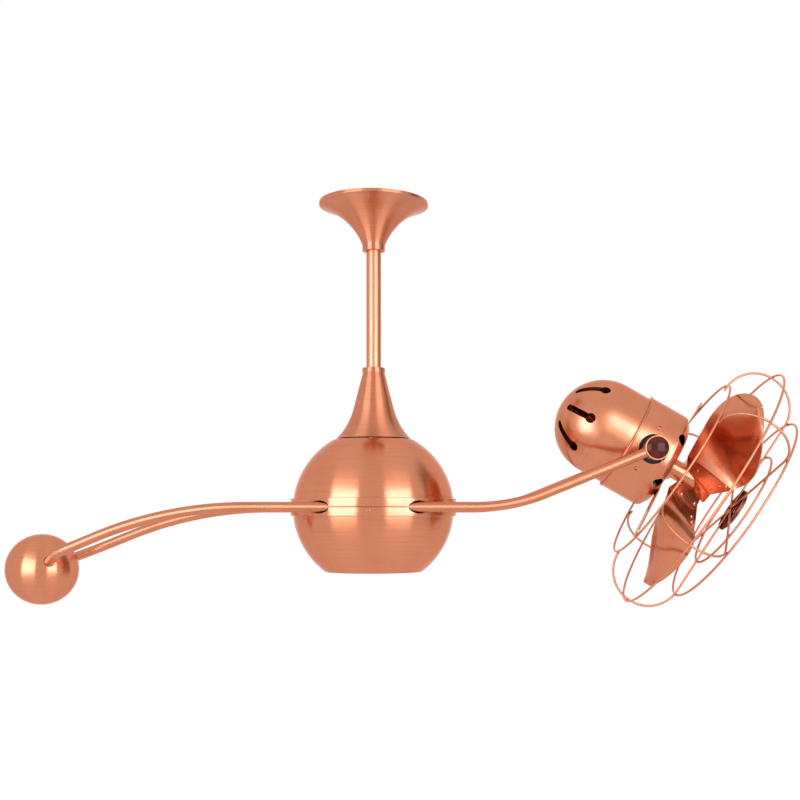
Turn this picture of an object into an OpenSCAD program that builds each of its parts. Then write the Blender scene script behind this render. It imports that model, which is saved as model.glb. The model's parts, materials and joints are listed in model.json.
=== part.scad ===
// Ceiling fan with one caged, tilting head and a ball counterweight, carried by
// twin tubes on a turning globe. Millimetres, +Z up. The origin is the middle of
// the canopy's top rim, where it meets the ceiling. +X points along the head's arm.

/* [Canopy and downrod] */
// Radius of the canopy at the ceiling
canopy_r = 79; // [72:1:100]
// Height of the canopy, collar included
canopy_h = 70; // [66:1:85]
// Radius of the flare's arc, seen from the side
canopy_arc_r = 97.5; // [90:0.5:110]
// Wall of the spun covers
cover_wall = 1.5; // [1:0.1:2]
// Outside diameter of the downrod
rod_d = 21.3; // [18:0.1:26]
// Wall of the downrod
rod_wall = 2.6; // [1.5:0.1:3.5]
// From the ceiling to the middle of the globe's band
drop = 443; // [420:1:700]

/* [Globe] */
// Radius of the globe's shells
globe_r = 117; // [110:0.1:150]
// Radius of the globe's band
band_r = 120; // [114:0.5:154]
// Height of the band, both halves
band_h = 25.2; // [20:0.2:36]
// Height of the flat top above the band's middle
globe_top = 98; // [90:1:104]
// Depth of the flat underside below the band's middle
globe_bottom = 93; // [86:1:100]
// Height of the neck cover
neck_h = 103; // [95:1:130]
// Running gap between the neck cover and the globe
neck_gap = 2; // [1:0.5:4]

/* [Arms] */
// Outside diameter of the twin tubes
tube_d = 14; // [12:0.5:18]
// Wall of the twin tubes
tube_wall = 1.5; // [1:0.1:2.5]
// Distance of each tube from the middle plane
tube_y = 98; // [96:0.5:104]
// From the globe's axis to the head's pivot
head_x = 394.6; // [360:1:520]
// Height of the head's pivot above the band
head_rise = 81; // [60:1:110]
// Slope of the tubes beside the head and beside the ball
arm_slope = 22.2; // [16:0.1:26]
// Bend radius of the tubes on the head's side
bend_head_r = 256; // [200:2:400]
// Bend radius of the tubes on the ball's side
bend_ball_r = 545; // [300:5:560]
// Bend radius where the tubes turn in to the ball
bend_in_r = 30; // [20:1:60]
// From the globe's axis to the ball's centre
ball_x = 482.7; // [470:1:560]
// Radius of the ball
ball_r = 51.5; // [44:0.5:60]

/* [Head] */
// Tilt of the fan's axis below level
head_tilt = 29.8; // [0:0.1:45]
// Radius of the motor's front casing
casing_r = 72.8; // [70:0.1:80]
// Rear end of the front casing, from the pivot
casing_back = 32.8; // [28:0.2:36]
// Front face of the front casing, from the pivot
casing_front = 38; // [36:0.5:39]
// Length of the rear dome behind the casing
dome_len = 107.5; // [98:0.5:120]
// Slots in the rear dome
dome_slots = 8; // [6:1:10]
// Radius of the pivot hole in the casing
pivot_hole_r = 21; // [19:0.5:24]
// Radius of the round end of the yoke, over the pivot
boss_r = 16.8; // [14:0.2:18]

/* [Blades] */
// Radius to the blade tips
blade_tip_r = 169; // [150:1:174]
// Widest chord of a blade
blade_chord = 125; // [90:1:130]
// Pitch of a blade at its root
pitch_root = 57; // [40:1:60]
// Pitch of a blade at its tip
pitch_tip = 23; // [16:1:36]
// Thickness of the blade sheet
blade_t = 1.6; // [1.2:0.1:2.5]
// Middle of the blades, from the pivot
blade_s = 93.5; // [90:0.5:96]

/* [Guard] */
// Lean of the guard on the casing
guard_lean = 3.6; // [0:0.2:5]
// Diameter of the guard's wire
wire_d = 3.2; // [2.6:0.1:4]
// Number of bows round the guard
bows = 6; // [5:1:8]
// Radius of the rear ring
rear_ring_r = 144; // [136:1:150]
// Radius of the widest ring
mid_ring_r = 195.7; // [190:0.5:215]
// Radius of the front ring
front_ring_r = 148.6; // [140:0.5:156]
// Radius of the small ring on the front
inner_ring_r = 91; // [70:1:110]
// Rear ring, from the pivot
rear_ring_s = 45; // [42:0.5:48]
// Front rings, from the pivot
front_ring_s = 153.5; // [150:0.5:162]
// Radius of the badge
badge_r = 33; // [26:1:40]

/* [Fits] */
// Running clearance round a shaft
run_gap = 0.05; // [0.02:0.01:0.08]
// Gap between pieces that seat on each other
seat_gap = 0.3; // [0.2:0.05:0.5]
// Gap between crossing wires
weld_gap = 0.05; // [0.02:0.01:0.1]
// Gap between brazed or pressed pieces
braze_gap = 0.02; // [0.01:0.01:0.05]

/* [Hidden] */
$fn = 96;
e = 0.01;                                   // overlap of a cut past the face that it opens
bend_step = 0.02;                           // step between a bend and its legs
leg_lap = 0.3;                              // how far a leg runs into its bend

copper = [0.80, 0.48, 0.34];
steel = [0.70, 0.71, 0.73];
iron = [0.32, 0.33, 0.35];
winding = [0.62, 0.34, 0.16];
bronze = [0.66, 0.52, 0.30];
gem = [0.40, 0.11, 0.07];
black = [0.10, 0.07, 0.06];

rod_r = rod_d/2;
tube_r = tube_d/2;
wire_r = wire_d/2;
collar_r = rod_r + 5.7;                     // collars of the canopy and the neck cover
collar_h = 7;
screw_r = 2;
screw_head_r = 3.6;

// heights on the drop, from the ceiling down
band_z = -drop;
neck_z = band_z + globe_top + neck_gap;     // lower lip of the neck cover
neck_top_z = neck_z + neck_h;
neck_lip_r = 56;
rod_top_z = -14;
rod_end_z = neck_top_z - 52;

// hanging parts under the ceiling
bracket_t = 3;
bracket_r = 58;
bolt_pcd = 88.9;                            // screw circle of a ceiling outlet box
bolt_r = 2.75;
set_screw_r = 1.8;
canopy_arc_out = 27.8;                      // the flare's centre lies outside the rim
canopy_arc_x = canopy_r + canopy_arc_out;
canopy_arc_z = sqrt(pow(canopy_arc_r, 2) - pow(canopy_arc_out, 2)) + 4.2;
ball_hang_r = 24;
cup_wall = 3;
cup_r = ball_hang_r + cup_wall;
hang_z = -20;                               // centre of the hanger ball
seat_z = hang_z - 8;                        // lower edge of the cup that holds it

// spindle and bearings
spindle_r = 9;
sleeve_r = 15.5;
sleeve_h = 46;
bearing_r = 21;
bearing_h = 10;
upper_bearing_z = band_z + 82;
lower_bearing_z = band_z - 44;
spindle_end_z = band_z - 66;

// turning frame inside the globe
globe_drop = 3;                             // the upper shell is struck from this far below the band
band_in_r = band_r - 7.2;
top_edge_r = sqrt(pow(globe_r, 2) - pow(globe_top + globe_drop, 2));
top_hole_r = 40;                            // opening under the neck cover
top_screw_at = 46;
top_screw_r = 1.5;
bar_t = 10;
bar_top = -tube_r - seat_gap;               // the tubes lie on the cross bar
bar_w = 40;
lug_w = 12;
lug_y = sqrt(pow(band_in_r - seat_gap, 2) - pow(bar_w/2 - 6, 2));
hub_boss_r = 27;
clamp_w = 30;
clamp_y0 = tube_y - tube_r - 6.5;
clamp_y1 = tube_y + tube_r + 3.9;
rotor_r = 60;
stator_r = 54;
motor_h = 28;
motor_z = band_z + 34;                      // foot of the turning motor

// tubes, as corners with a bend radius each; side = -1 is the front tube
corner_head_x = head_x - head_rise/tan(arm_slope);
turn_in_drop = 63;                          // height lost where the tubes turn in
turn_in_x = ball_x - 52;
turn_in_y = tube_y - 10;                    // the tubes close in a little towards the ball
head_y = tube_y - 3;                        // and towards the head
corner_ball_x = -turn_in_x + turn_in_drop/tan(arm_slope);
ball_drop = 90;
ball_c = [-ball_x, 0, band_z - ball_drop];
turn_in = [-turn_in_x, turn_in_y, band_z - turn_in_drop];
in_dir = ball_c - turn_in;
tube_end_depth = 20;                        // the tubes reach this far into the ball
boss_len = 17;
boss_y = head_y + boss_len/2;               // outer face of the yoke's round end
neck_boss_r = 11;

// head, measured along its axis from the pivot
pivot = [head_x, 0, band_z + head_rise];
dome_r = casing_r - 3.2;
dome_c = dome_len + casing_back - dome_r;   // centre of the round end, behind the pivot
pole_flat = 0.04;
lap = 7;                                    // the dome runs this far into the casing
plate_y = 59;                               // outer face of the pivot plates
plate_t = 3;
bolt_shank_r = 5;
core_r = 50;
core_back = 56;
core_front = 14;
shaft_r = 5;
shaft_back = 70;
shaft_out = 2;                              // the shaft ends inside the cone
barrel_r = 14;
mid_ring_s = (rear_ring_s + front_ring_s)/2 - 2.3;
bow_phase = -1;
slot_phase = 4.6;
wire_pitch = wire_d + weld_gap;             // centre distance of two crossing wires
bow_back_s = rear_ring_s + wire_pitch;      // the bows lie inside the rings
bow_front_s = front_ring_s - wire_pitch;
bow_top_r = mid_ring_r - wire_pitch;
bow_bend_r = (bow_front_s - bow_back_s)/2 - 1;
bow_start_r = rear_ring_r - 5;
bow_end_r = (wire_r + weld_gap)/tan(180/bows);
strut_w = 16;
strut_t = 2;
strut_foot = 62;
strut_ways = [-38, 142];                    // the bars leave the casing on opposite sides
badge_t = 7;

// ---- helpers ---------------------------------------------------------------

function unit(v) = v/norm(v);

// rigid move that sends +Z to w, with +X near u
module aim(origin, w, u) {
    z = unit(w);
    y = unit(cross(z, u));
    x = cross(y, z);
    multmatrix([[x[0], y[0], z[0], origin[0]], [x[1], y[1], z[1], origin[1]],
        [x[2], y[2], z[2], origin[2]], [0, 0, 0, 1]]) children();
}

// straight rod from a to b
module rod_between(a, b, r) {
    side = abs(unit(b - a)[1]) < 0.9 ? [0, 1, 0] : [1, 0, 0];
    aim(a, b - a, side) cylinder(r = r, h = norm(b - a));
}

// length that a bend takes from each leg of its corner
function bend_leg(a, b, c, r) = r*tan(acos(unit(b - a)*unit(c - b))/2);

// round rod along straight legs, with a bend radius at each inner corner; the bends are
// drawn a hair thinner and the legs run a little into them, so the faces meet cleanly
module bent_rod(points, radii, r) {
    n = len(points);
    legs = [for (i = [0:n - 1]) i == 0 || i == n - 1 ? 0
        : bend_leg(points[i - 1], points[i], points[i + 1], radii[i - 1])];
    for (i = [0:n - 2]) {
        d = unit(points[i + 1] - points[i]);
        rod_between(points[i] + d*(legs[i] - (i > 0 ? leg_lap : 0)),
            points[i + 1] - d*(legs[i + 1] - (i < n - 2 ? leg_lap : 0)), r);
    }
    for (i = [1:n - 2]) {
        u = unit(points[i] - points[i - 1]);
        v = unit(points[i + 1] - points[i]);
        axis = unit(cross(u, v));
        out = cross(u, axis);
        start = points[i] - u*legs[i];
        aim(start - out*radii[i - 1], axis, out)
            rotate_extrude(angle = acos(u*v)) translate([radii[i - 1], 0]) circle(r - bend_step, $fn = 32);
    }
}

module ring_wire(r, wire) { rotate_extrude() translate([r, 0]) circle(wire, $fn = 32); }

module tube(ro, ri, h) {
    difference() {
        cylinder(r = ro, h = h);
        translate([0, 0, -1]) cylinder(r = ri, h = h + 2);
    }
}

// frame of the head: +Z runs from the dome to the guard, +Y stays level
module head() { translate(pivot) rotate([0, 90 + head_tilt, 0]) children(); }

// a pan-head screw that points along -Z, its head on z = 0
module screw(r, head_r, length) {
    translate([0, 0, -length]) cylinder(r = r, h = length + e, $fn = 32);
    difference() {
        intersection() {
            cylinder(r = head_r, h = head_r, $fn = 40);
            translate([0, 0, -head_r*0.9]) sphere(head_r*1.55, $fn = 40);
        }
        for (a = [0, 90]) rotate(a) translate([-head_r*0.55, -0.35, head_r*0.35])
            cube([head_r*1.1, 0.7, head_r]);
    }
}

// ---- under the ceiling ------------------------------------------------------

module ceiling_bracket() {
    color(steel) difference() {
        union() {
            translate([0, 0, -bracket_t]) cylinder(r = bracket_r, h = bracket_t);
            translate([0, 0, seat_z]) cylinder(r = cup_r, h = -seat_z - bracket_t + e);
        }
        translate([0, 0, hang_z]) sphere(ball_hang_r + seat_gap);
        translate([0, 0, hang_z]) cylinder(r = ball_hang_r + seat_gap, h = 40);
        translate([0, 0, seat_z - 1]) cylinder(r = rod_r + 4, h = 40);
        // side mouth that the ball and rod are hung through
        translate([0, -rod_r - 2, seat_z - 1]) cube([cup_r + 1, rod_d + 4, -seat_z - bracket_t + 1]);
        for (a = [45:90:359]) rotate(a) translate([bolt_pcd/2, 0, -bracket_t - 1])
            cylinder(r = bolt_r, h = bracket_t + 2, $fn = 32);
    }
}

// radial set screw through a collar on the downrod, its socket outwards
module set_screw(z) {
    color(steel) translate([0, collar_r + 0.6, z]) rotate([90, 0, 0]) difference() {
        cylinder(r = set_screw_r, h = collar_r + 0.6 - rod_r - seat_gap, $fn = 32);
        translate([0, 0, -1]) cylinder(r = 0.9, h = 2.6, $fn = 6);
    }
}

module set_screw_way(z) {
    translate([0, 0, z]) rotate([-90, 0, 0]) cylinder(r = set_screw_r + braze_gap, h = 40, $fn = 32);
}

module canopy() {
    color(copper) difference() {
        rotate_extrude() difference() {
            difference() {
                translate([rod_r + run_gap, -canopy_h]) square([canopy_r - rod_r - run_gap, canopy_h]);
                translate([canopy_arc_x, -canopy_arc_z]) circle(canopy_arc_r, $fn = 180);
                translate([collar_r, -canopy_h - 1]) square([canopy_r, canopy_h - 61 + 1]);
            }
            // hollow that follows the flare one wall inside it
            difference() {
                translate([0, -canopy_h + collar_h + 2]) square([canopy_r - cover_wall, canopy_h]);
                translate([canopy_arc_x, -canopy_arc_z]) circle(canopy_arc_r + cover_wall, $fn = 180);
            }
        }
        set_screw_way(-canopy_h + collar_h/2);
    }
}

module canopy_set_screw() { set_screw(-canopy_h + collar_h/2); }

module hanger_ball() {
    color(steel) difference() {
        translate([0, 0, hang_z]) intersection() {
            sphere(ball_hang_r);
            translate([-ball_hang_r, -ball_hang_r, -14]) cube([2*ball_hang_r, 2*ball_hang_r, 26]);
        }
        translate([0, 0, hang_z - 40]) cylinder(r = rod_r + run_gap, h = 80);
        translate([0, 0, hang_z + 6]) rotate([0, 90, 0]) translate([0, 0, -40])
            cylinder(r = 3 + run_gap, h = 80);
    }
}

module hanger_pin() {
    color(steel) translate([-17, 0, hang_z + 6]) rotate([0, 90, 0]) cylinder(r = 3, h = 34);
}

module downrod() {
    color(copper) difference() {
        translate([0, 0, rod_end_z]) tube(rod_r, rod_r - rod_wall, rod_top_z - rod_end_z);
        for (z = [hang_z + 6, rod_end_z + 24]) translate([-40, 0, z]) rotate([0, 90, 0])
            cylinder(r = 3 + run_gap, h = 80);
    }
}

module coupling_pin() {
    color(steel) translate([-sleeve_r - 1.5, 0, rod_end_z + 24]) rotate([0, 90, 0])
        cylinder(r = 3, h = 2*sleeve_r + 3);
}

// ---- neck cover ------------------------------------------------------------

neck_cone_r = 29.1;                         // the cone meets the flare at this radius
neck_cone_z = 44.8;                         // and this height above the lip
neck_slope = 0.25;
neck_flare_r = 97.8;

module neck_outline(inset) {
    // collar, cone and concave flare of the cover; inset draws the hollow inside it
    k = neck_flare_r + inset;
    n = [cos(atan(neck_slope)), sin(atan(neck_slope))];
    c = [neck_cone_r, neck_cone_z] + neck_flare_r*n;
    z1 = neck_h - collar_h;
    difference() {
        union() {
            square([neck_lip_r + 20, neck_cone_z]);
            polygon([[0, neck_cone_z - e], [neck_cone_r - inset, neck_cone_z - e],
                [collar_r - 0.4 - inset, z1], [0, z1]]);
        }
        intersection() {
            translate(c) circle(k, $fn = 240);
            translate([0, -1]) square([300, neck_cone_z + 1 + inset*neck_slope]);
        }
    }
}

module neck_cover() {
    color(copper) difference() {
        translate([0, 0, neck_z]) rotate_extrude() difference() {
            union() {
                intersection() {
                    neck_outline(0);
                    square([neck_lip_r, neck_h]);
                }
                translate([0, neck_h - collar_h - e]) square([collar_r, collar_h]);
            }
            translate([0, -1]) square([rod_r + run_gap, neck_h + 2]);
            intersection() {
                neck_outline(cover_wall);
                translate([0, -1]) square([neck_lip_r - cover_wall, neck_h - collar_h - 1]);
            }
        }
        set_screw_way(neck_top_z - collar_h/2);
    }
}

module neck_set_screw() { set_screw(neck_top_z - collar_h/2); }

// ---- spindle, bearings and turning motor --------------------------------------

module spindle() {
    color(steel) difference() {
        union() {
            translate([0, 0, spindle_end_z]) cylinder(r = spindle_r, h = rod_end_z - 6 - spindle_end_z + e);
            translate([0, 0, rod_end_z - 6]) cylinder(r = sleeve_r, h = sleeve_h);
        }
        translate([0, 0, rod_end_z]) cylinder(r = rod_r + run_gap, h = sleeve_h);
        translate([0, 0, spindle_end_z - 1]) cylinder(r = spindle_r - 4, h = drop);
        translate([-40, 0, rod_end_z + 24]) rotate([0, 90, 0]) cylinder(r = 3 + run_gap, h = 80);
    }
}

module bearing() {
    // deep-groove bearing, its two races and the cage between them turned as one piece
    difference() {
        tube(bearing_r, spindle_r, bearing_h);
        for (z = [-e, bearing_h - 1.5]) translate([0, 0, z])
            tube(bearing_r - 3, spindle_r + 3, 1.5 + e);
    }
}

module upper_bearing() { color(steel) translate([0, 0, upper_bearing_z]) bearing(); }
module lower_bearing() { color(steel) translate([0, 0, lower_bearing_z]) bearing(); }

module spindle_nut() {
    color(steel) translate([0, 0, lower_bearing_z - 9]) difference() {
        union() {
            cylinder(r = 15, h = 7, $fn = 6);
            translate([0, 0, 7 - e]) cylinder(r = 13, h = 2);
        }
        translate([0, 0, -1]) cylinder(r = spindle_r, h = 20);
    }
}

stator_teeth = 12;
module turn_stator() {
    color(winding) translate([0, 0, motor_z + 5]) difference() {
        tube(stator_r, spindle_r, motor_h - 8);
        for (i = [0:stator_teeth - 1]) rotate(i*360/stator_teeth) {
            translate([34, 0, -1]) cylinder(r = 6.5, h = motor_h, $fn = 32);
            translate([34, -1.5, -1]) cube([30, 3, motor_h]);
        }
    }
}

module turn_rotor() {
    // cup with the magnet ring, carried by the boss of the arm hub
    color(iron) translate([0, 0, motor_z]) {
        tube(rotor_r, hub_boss_r - 6, 3);
        tube(rotor_r, stator_r + 0.8, motor_h);
    }
}

module arm_hub() {
    color(iron) difference() {
        union() {
            translate([0, 0, lower_bearing_z - 3])
                cylinder(r = hub_boss_r, h = motor_z - lower_bearing_z + 3);
            translate([-bar_w/2, -tube_y - 10, band_z + bar_top - bar_t]) cube([bar_w, 2*tube_y + 20, bar_t]);
            translate([-bar_w/2 + 6, -lug_y, band_z + bar_top - bar_t]) cube([bar_w - 12, 2*lug_y, bar_t]);
            for (s = [0, 180]) rotate(s) translate([-lug_w/2, clamp_y1 + seat_gap, band_z + bar_top - bar_t])
                cube([lug_w, lug_y - clamp_y1 - seat_gap, bar_t + 12]);
        }
        translate([0, 0, lower_bearing_z - 4])
            cylinder(r = bearing_r + run_gap, h = bearing_h + 4 + braze_gap);
        translate([0, 0, lower_bearing_z - 4]) cylinder(r = spindle_r + 4, h = drop);
        for (s = [0, 180]) rotate(s) translate([0, -band_r, band_z - 5.5]) rotate([90, 0, 0])
            translate([0, 0, -20]) cylinder(r = screw_r + run_gap, h = 20, $fn = 32);
        for (p = clamp_holes()) translate([p[0], p[1], band_z + bar_top - bar_t - 1])
            cylinder(r = screw_r + run_gap, h = bar_t + 2, $fn = 32);
    }
}

function clamp_holes() = [for (s = [-1, 1]) for (x = [-9, 9]) for (y = [clamp_y0 + 3, clamp_y1 - 2.2])
    if (y < tube_y) [x, s*y]];

module tube_clamps() {
    // saddles that hold the tubes down on the cross bar
    color(iron) for (s = [-1, 1]) difference() {
        translate([-clamp_w/2, s > 0 ? clamp_y0 : -clamp_y1, band_z + bar_top + seat_gap/3])
            cube([clamp_w, clamp_y1 - clamp_y0, 2*tube_r + 4]);
        translate([-clamp_w, s*tube_y, band_z]) rotate([0, 90, 0])
            cylinder(r = tube_r + run_gap, h = 2*clamp_w);
        translate([-clamp_w, s*tube_y - tube_r - run_gap, band_z - 20])
            cube([2*clamp_w, 2*(tube_r + run_gap), 20]);
        for (p = clamp_holes()) translate([p[0], p[1], band_z - 20])
            cylinder(r = screw_r + run_gap, h = 60, $fn = 32);
    }
}

module clamp_screws() {
    color(steel) for (p = clamp_holes()) translate([p[0], p[1], band_z + tube_r + 4 + seat_gap/3 - seat_gap])
        translate([0, 0, 0.3]) screw(screw_r, screw_head_r - 0.6, 2*tube_r + 4 + bar_t - 2);
}

// ---- globe -----------------------------------------------------------------

module tube_ways() {
    for (s = [-1, 1]) translate([-200, s*tube_y, band_z]) rotate([0, 90, 0])
        cylinder(r = tube_r + 2.2, h = 400);
}

module band_ways() {
    for (s = [0, 180]) rotate(s) translate([0, -band_r - 1, band_z - 5.5]) rotate([-90, 0, 0])
        cylinder(r = screw_r + run_gap, h = 20, $fn = 32);
}

module globe_upper() {
    color(copper) difference() {
        translate([0, 0, band_z]) rotate_extrude() {
            intersection() {
                translate([0, -globe_drop]) difference() {
                    circle(globe_r, $fn = 240);
                    circle(globe_r - cover_wall, $fn = 240);
                }
                square([globe_r + 1, globe_top]);
            }
            // flat top that turns under the neck cover
            translate([top_hole_r, globe_top - cover_wall])
                square([top_edge_r - 0.5 - top_hole_r, cover_wall]);
            difference() {
                translate([band_in_r, 0]) square([band_r - band_in_r, band_h/2]);
                translate([band_r - 1, band_h/2 - 1]) difference() {
                    square(2);
                    circle(1, $fn = 32);
                }
            }
        }
        tube_ways();
        top_screw_ways();
    }
}

module globe_lower() {
    low_r = sqrt(pow(globe_r, 2) - pow(globe_bottom, 2));
    color(copper) difference() {
        translate([0, 0, band_z]) rotate_extrude() {
            intersection() {
                difference() {
                    circle(globe_r, $fn = 240);
                    circle(globe_r - cover_wall, $fn = 240);
                }
                translate([0, -globe_bottom]) square([globe_r + 2, globe_bottom - 1]);
            }
            translate([0, -globe_bottom]) square([low_r - 0.5, cover_wall]);
            difference() {
                translate([band_in_r, -band_h/2]) square([band_r - band_in_r, band_h/2 - 0.1]);
                translate([band_r - 1, -band_h/2 + 1]) difference() {
                    translate([0, -2]) square(2);
                    circle(1, $fn = 32);
                }
            }
        }
        tube_ways();
        band_ways();
    }
}

module top_screw_ways() {
    for (a = [30:120:359]) rotate(a) translate([top_screw_at, 0, band_z + globe_top - 20])
        cylinder(r = top_screw_r + run_gap, h = 40, $fn = 32);
}

module top_plate() {
    plate_z = band_z + globe_top - cover_wall - seat_gap/3;
    color(iron) difference() {
        union() {
            translate([0, 0, plate_z - 3]) cylinder(r = 54, h = 3);
            translate([0, 0, upper_bearing_z - 3])
                cylinder(r = hub_boss_r, h = plate_z - upper_bearing_z + 2);
        }
        translate([0, 0, upper_bearing_z - 4]) cylinder(r = spindle_r + 4, h = 60);
        translate([0, 0, upper_bearing_z - braze_gap]) cylinder(r = bearing_r + run_gap, h = 60);
        top_screw_ways();
    }
}

module top_screws() {
    color(steel) for (a = [30:120:359]) rotate(a)
        translate([top_screw_at, 0, band_z + globe_top + seat_gap/3]) screw(top_screw_r, 2.8, 6);
}

module band_screws() {
    color(copper) for (s = [0, 180]) rotate(s) translate([0, -band_r - 0.1, band_z - 5.5]) rotate([90, 0, 0])
        screw(screw_r, 2.6, 10);
}

// ---- arms --------------------------------------------------------------------

function mirror_y(p, s) = [p[0], s*p[1], p[2]];
function tube_points(s, more = 0) = [for (p = [
    [head_x + (more - boss_r*0.6)*cos(arm_slope), head_y, pivot[2] + (more - boss_r*0.6)*sin(arm_slope)],
    [corner_head_x, tube_y, band_z],
    [corner_ball_x, tube_y, band_z],
    turn_in,
    ball_c - unit(in_dir)*(ball_r - tube_end_depth - more)]) mirror_y(p, s)];
tube_bends = [bend_head_r, bend_ball_r, bend_in_r];

module arm_tube(s) {
    difference() {
        bent_rod(tube_points(s), tube_bends, tube_r);
        bent_rod(tube_points(s, 2), tube_bends, tube_r - tube_wall);
        // round end of the yoke that the tube is brazed to
        along_pivot(s) cylinder(r = boss_r + braze_gap, h = 200);
    }
}

module front_tube() { color(copper) arm_tube(-1); }
module rear_tube() { color(copper) arm_tube(1); }

module ball_shell() {
    color(copper) difference() {
        translate(ball_c) sphere(ball_r, $fn = 128);
        translate(ball_c) sphere(ball_r - 3, $fn = 128);
        for (s = [-1, 1]) rod_between(ball_c, mirror_y(turn_in, s), tube_r + run_gap);
    }
}

module ball_weight() {
    // cast slug that fills the ball and takes the tube ends
    color(iron) difference() {
        translate(ball_c) sphere(ball_r - 3 - seat_gap, $fn = 128);
        for (s = [-1, 1]) rod_between(ball_c - unit(mirror_y(in_dir, s))*(ball_r - tube_end_depth - seat_gap),
            mirror_y(turn_in, s), tube_r + run_gap);
    }
}

// ---- pivots of the head --------------------------------------------------------

module along_pivot(s) { translate([head_x, 0, pivot[2]]) rotate([s > 0 ? -90 : 90, 0, 0]) children(); }

module yoke_boss(s) {
    color(copper) along_pivot(s) difference() {
        union() {
            translate([0, 0, boss_y - boss_len]) cylinder(r = boss_r, h = boss_len);
            translate([0, 0, plate_y + 2]) cylinder(r = neck_boss_r, h = boss_y - boss_len - plate_y - 2 + e);
        }
        cylinder(r = bolt_shank_r + run_gap, h = boss_y + 10);
        translate([0, 0, boss_y - 6]) cylinder(r = boss_r - 1.4, h = 10);
    }
}
module front_boss() { yoke_boss(-1); }
module rear_boss() { yoke_boss(1); }

module knob_cap(s) {
    // polished cabochon let into the round end
    rim = boss_r - 1.4 - 0.1;
    rise = 5;
    dome = (rim*rim + rise*rise)/(2*rise);
    color(gem) along_pivot(s) {
        translate([0, 0, boss_y - 1.6]) cylinder(r = rim, h = 1.6);
        translate([0, 0, boss_y - e]) intersection() {
            cylinder(r = rim, h = rise + 1);
            translate([0, 0, rise - dome]) sphere(dome, $fn = 180);
        }
    }
}
module front_cap() { knob_cap(-1); }
module rear_cap() { knob_cap(1); }

module pivot_bolts() {
    bolt_in = plate_y - plate_t - 5.2;
    color(steel) for (s = [-1, 1]) along_pivot(s) {
        translate([0, 0, bolt_in]) cylinder(r = bolt_shank_r, h = boss_y - 5.8 - bolt_in);
        translate([0, 0, boss_y - 5.9]) cylinder(r = 9, h = 4, $fn = 6);
    }
}

module pivot_washers() {
    color(steel) for (s = [-1, 1]) along_pivot(s) translate([0, 0, plate_y + seat_gap])
        tube(14, bolt_shank_r + run_gap, 1.4);
}

module pivot_nuts() {
    color(steel) for (s = [-1, 1]) along_pivot(s) translate([0, 0, plate_y - plate_t - seat_gap - 4.5])
        difference() {
            cylinder(r = 9, h = 4.5, $fn = 6);
            translate([0, 0, -1]) cylinder(r = bolt_shank_r + run_gap, h = 8);
        }
}

foot_r = casing_r - cover_wall - seat_gap;
module pivot_plates() {
    // chord plates inside the casing that the head hangs on, with curved feet for the screws
    half = sqrt(pow(foot_r, 2) - pow(plate_y, 2)) - 0.2;
    color(iron) head() for (s = [0, 180]) rotate(s) difference() {
        union() {
            translate([-half, plate_y - plate_t, -19]) cube([2*half, plate_t, 38]);
            for (a = [0, 180]) rotate([0, a, 0]) translate([0, 0, a > 0 ? 0 : -16]) rotate(55)
                rotate_extrude(angle = 15) translate([foot_r - 4.2, 0]) square([4.2, 16]);
        }
        rotate([-90, 0, 0]) cylinder(r = bolt_shank_r + run_gap, h = 100);
        motor_screw_ways();
    }
}

// ---- motor -------------------------------------------------------------------

slot_at = 50;                               // middle of a slot, round from the dome's pole
slot_half = 20.8;
slot_r = 3.4;
slot_end_r = 6.3;
module dome_slot_shape() {
    // teardrop: a narrow way that ends in a larger round
    translate([slot_half, 0]) circle(slot_r, $fn = 32);
    translate([-slot_half, -slot_r]) square([2*slot_half, 2*slot_r]);
    translate([-slot_half, 0]) circle(slot_end_r, $fn = 48);
}

// half disc whose pole is flattened by a hair, so that the turned skin closes
module flat_ended(r) {
    intersection() {
        circle(r, $fn = 180);
        translate([0, -r + pole_flat]) square([r + 1, r - pole_flat]);
    }
}

module motor_dome() {
    dome_in = dome_r - cover_wall;
    color(copper) head() difference() {
        rotate_extrude() {
            translate([0, -dome_c]) difference() {
                flat_ended(dome_r);
                flat_ended(dome_in);
            }
            translate([dome_in, -dome_c]) square([cover_wall, dome_c - casing_back + lap]);
        }
        for (i = [0:dome_slots - 1]) rotate(slot_phase + i*360/dome_slots)
            translate([0, 0, -dome_c]) rotate([0, 180 - slot_at, 0]) translate([0, 0, dome_r/3])
                linear_extrude(dome_r) dome_slot_shape();
    }
}

front_r = 60;                               // the casing closes in to this radius at its face
front_cone = 9.5;                           // length of the cone that closes it in
vent_r = 8.2;                               // round vents through the cone's edge
vent_lean = 36;
casing_phase = 2;
module casing_outline(inset) {
    // straight wall, cone and flat face; inset draws the hollow inside it
    polygon([[-1, -casing_back], [casing_r - inset, -casing_back],
        [casing_r - inset, casing_front - front_cone - inset/3],
        [front_r - inset/2, casing_front - inset], [-1, casing_front - inset]]);
}

module motor_casing() {
    color(copper) head() difference() {
        rotate_extrude() difference() {
            union() {
                intersection() {
                    casing_outline(0);
                    translate([0, -casing_back]) square([casing_r + 1, 100]);
                }
                // rolled bead on the rear edge
                translate([casing_r - 0.4, -casing_back + 1.8]) circle(1.5, $fn = 32);
            }
            translate([-1, -casing_back - 2]) square([dome_r + seat_gap/3 + 1, lap + 4]);
            intersection() {
                casing_outline(cover_wall);
                translate([-1, -casing_back + lap + 1]) square([casing_r, 100]);
            }
            translate([-1, 0]) square([barrel_r + 6, 100]);
        }
        for (i = [0:5]) rotate(casing_phase + i*60)
            translate([casing_r - 5.2, 0, casing_front - 8.5]) rotate([0, 90 - vent_lean, 0])
                translate([0, 0, -9]) cylinder(r = vent_r, h = 24);
        for (s = [-1, 1]) rotate([s > 0 ? -90 : 90, 0, 0]) cylinder(r = pivot_hole_r, h = 120);
        motor_screw_ways();
    }
}

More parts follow.
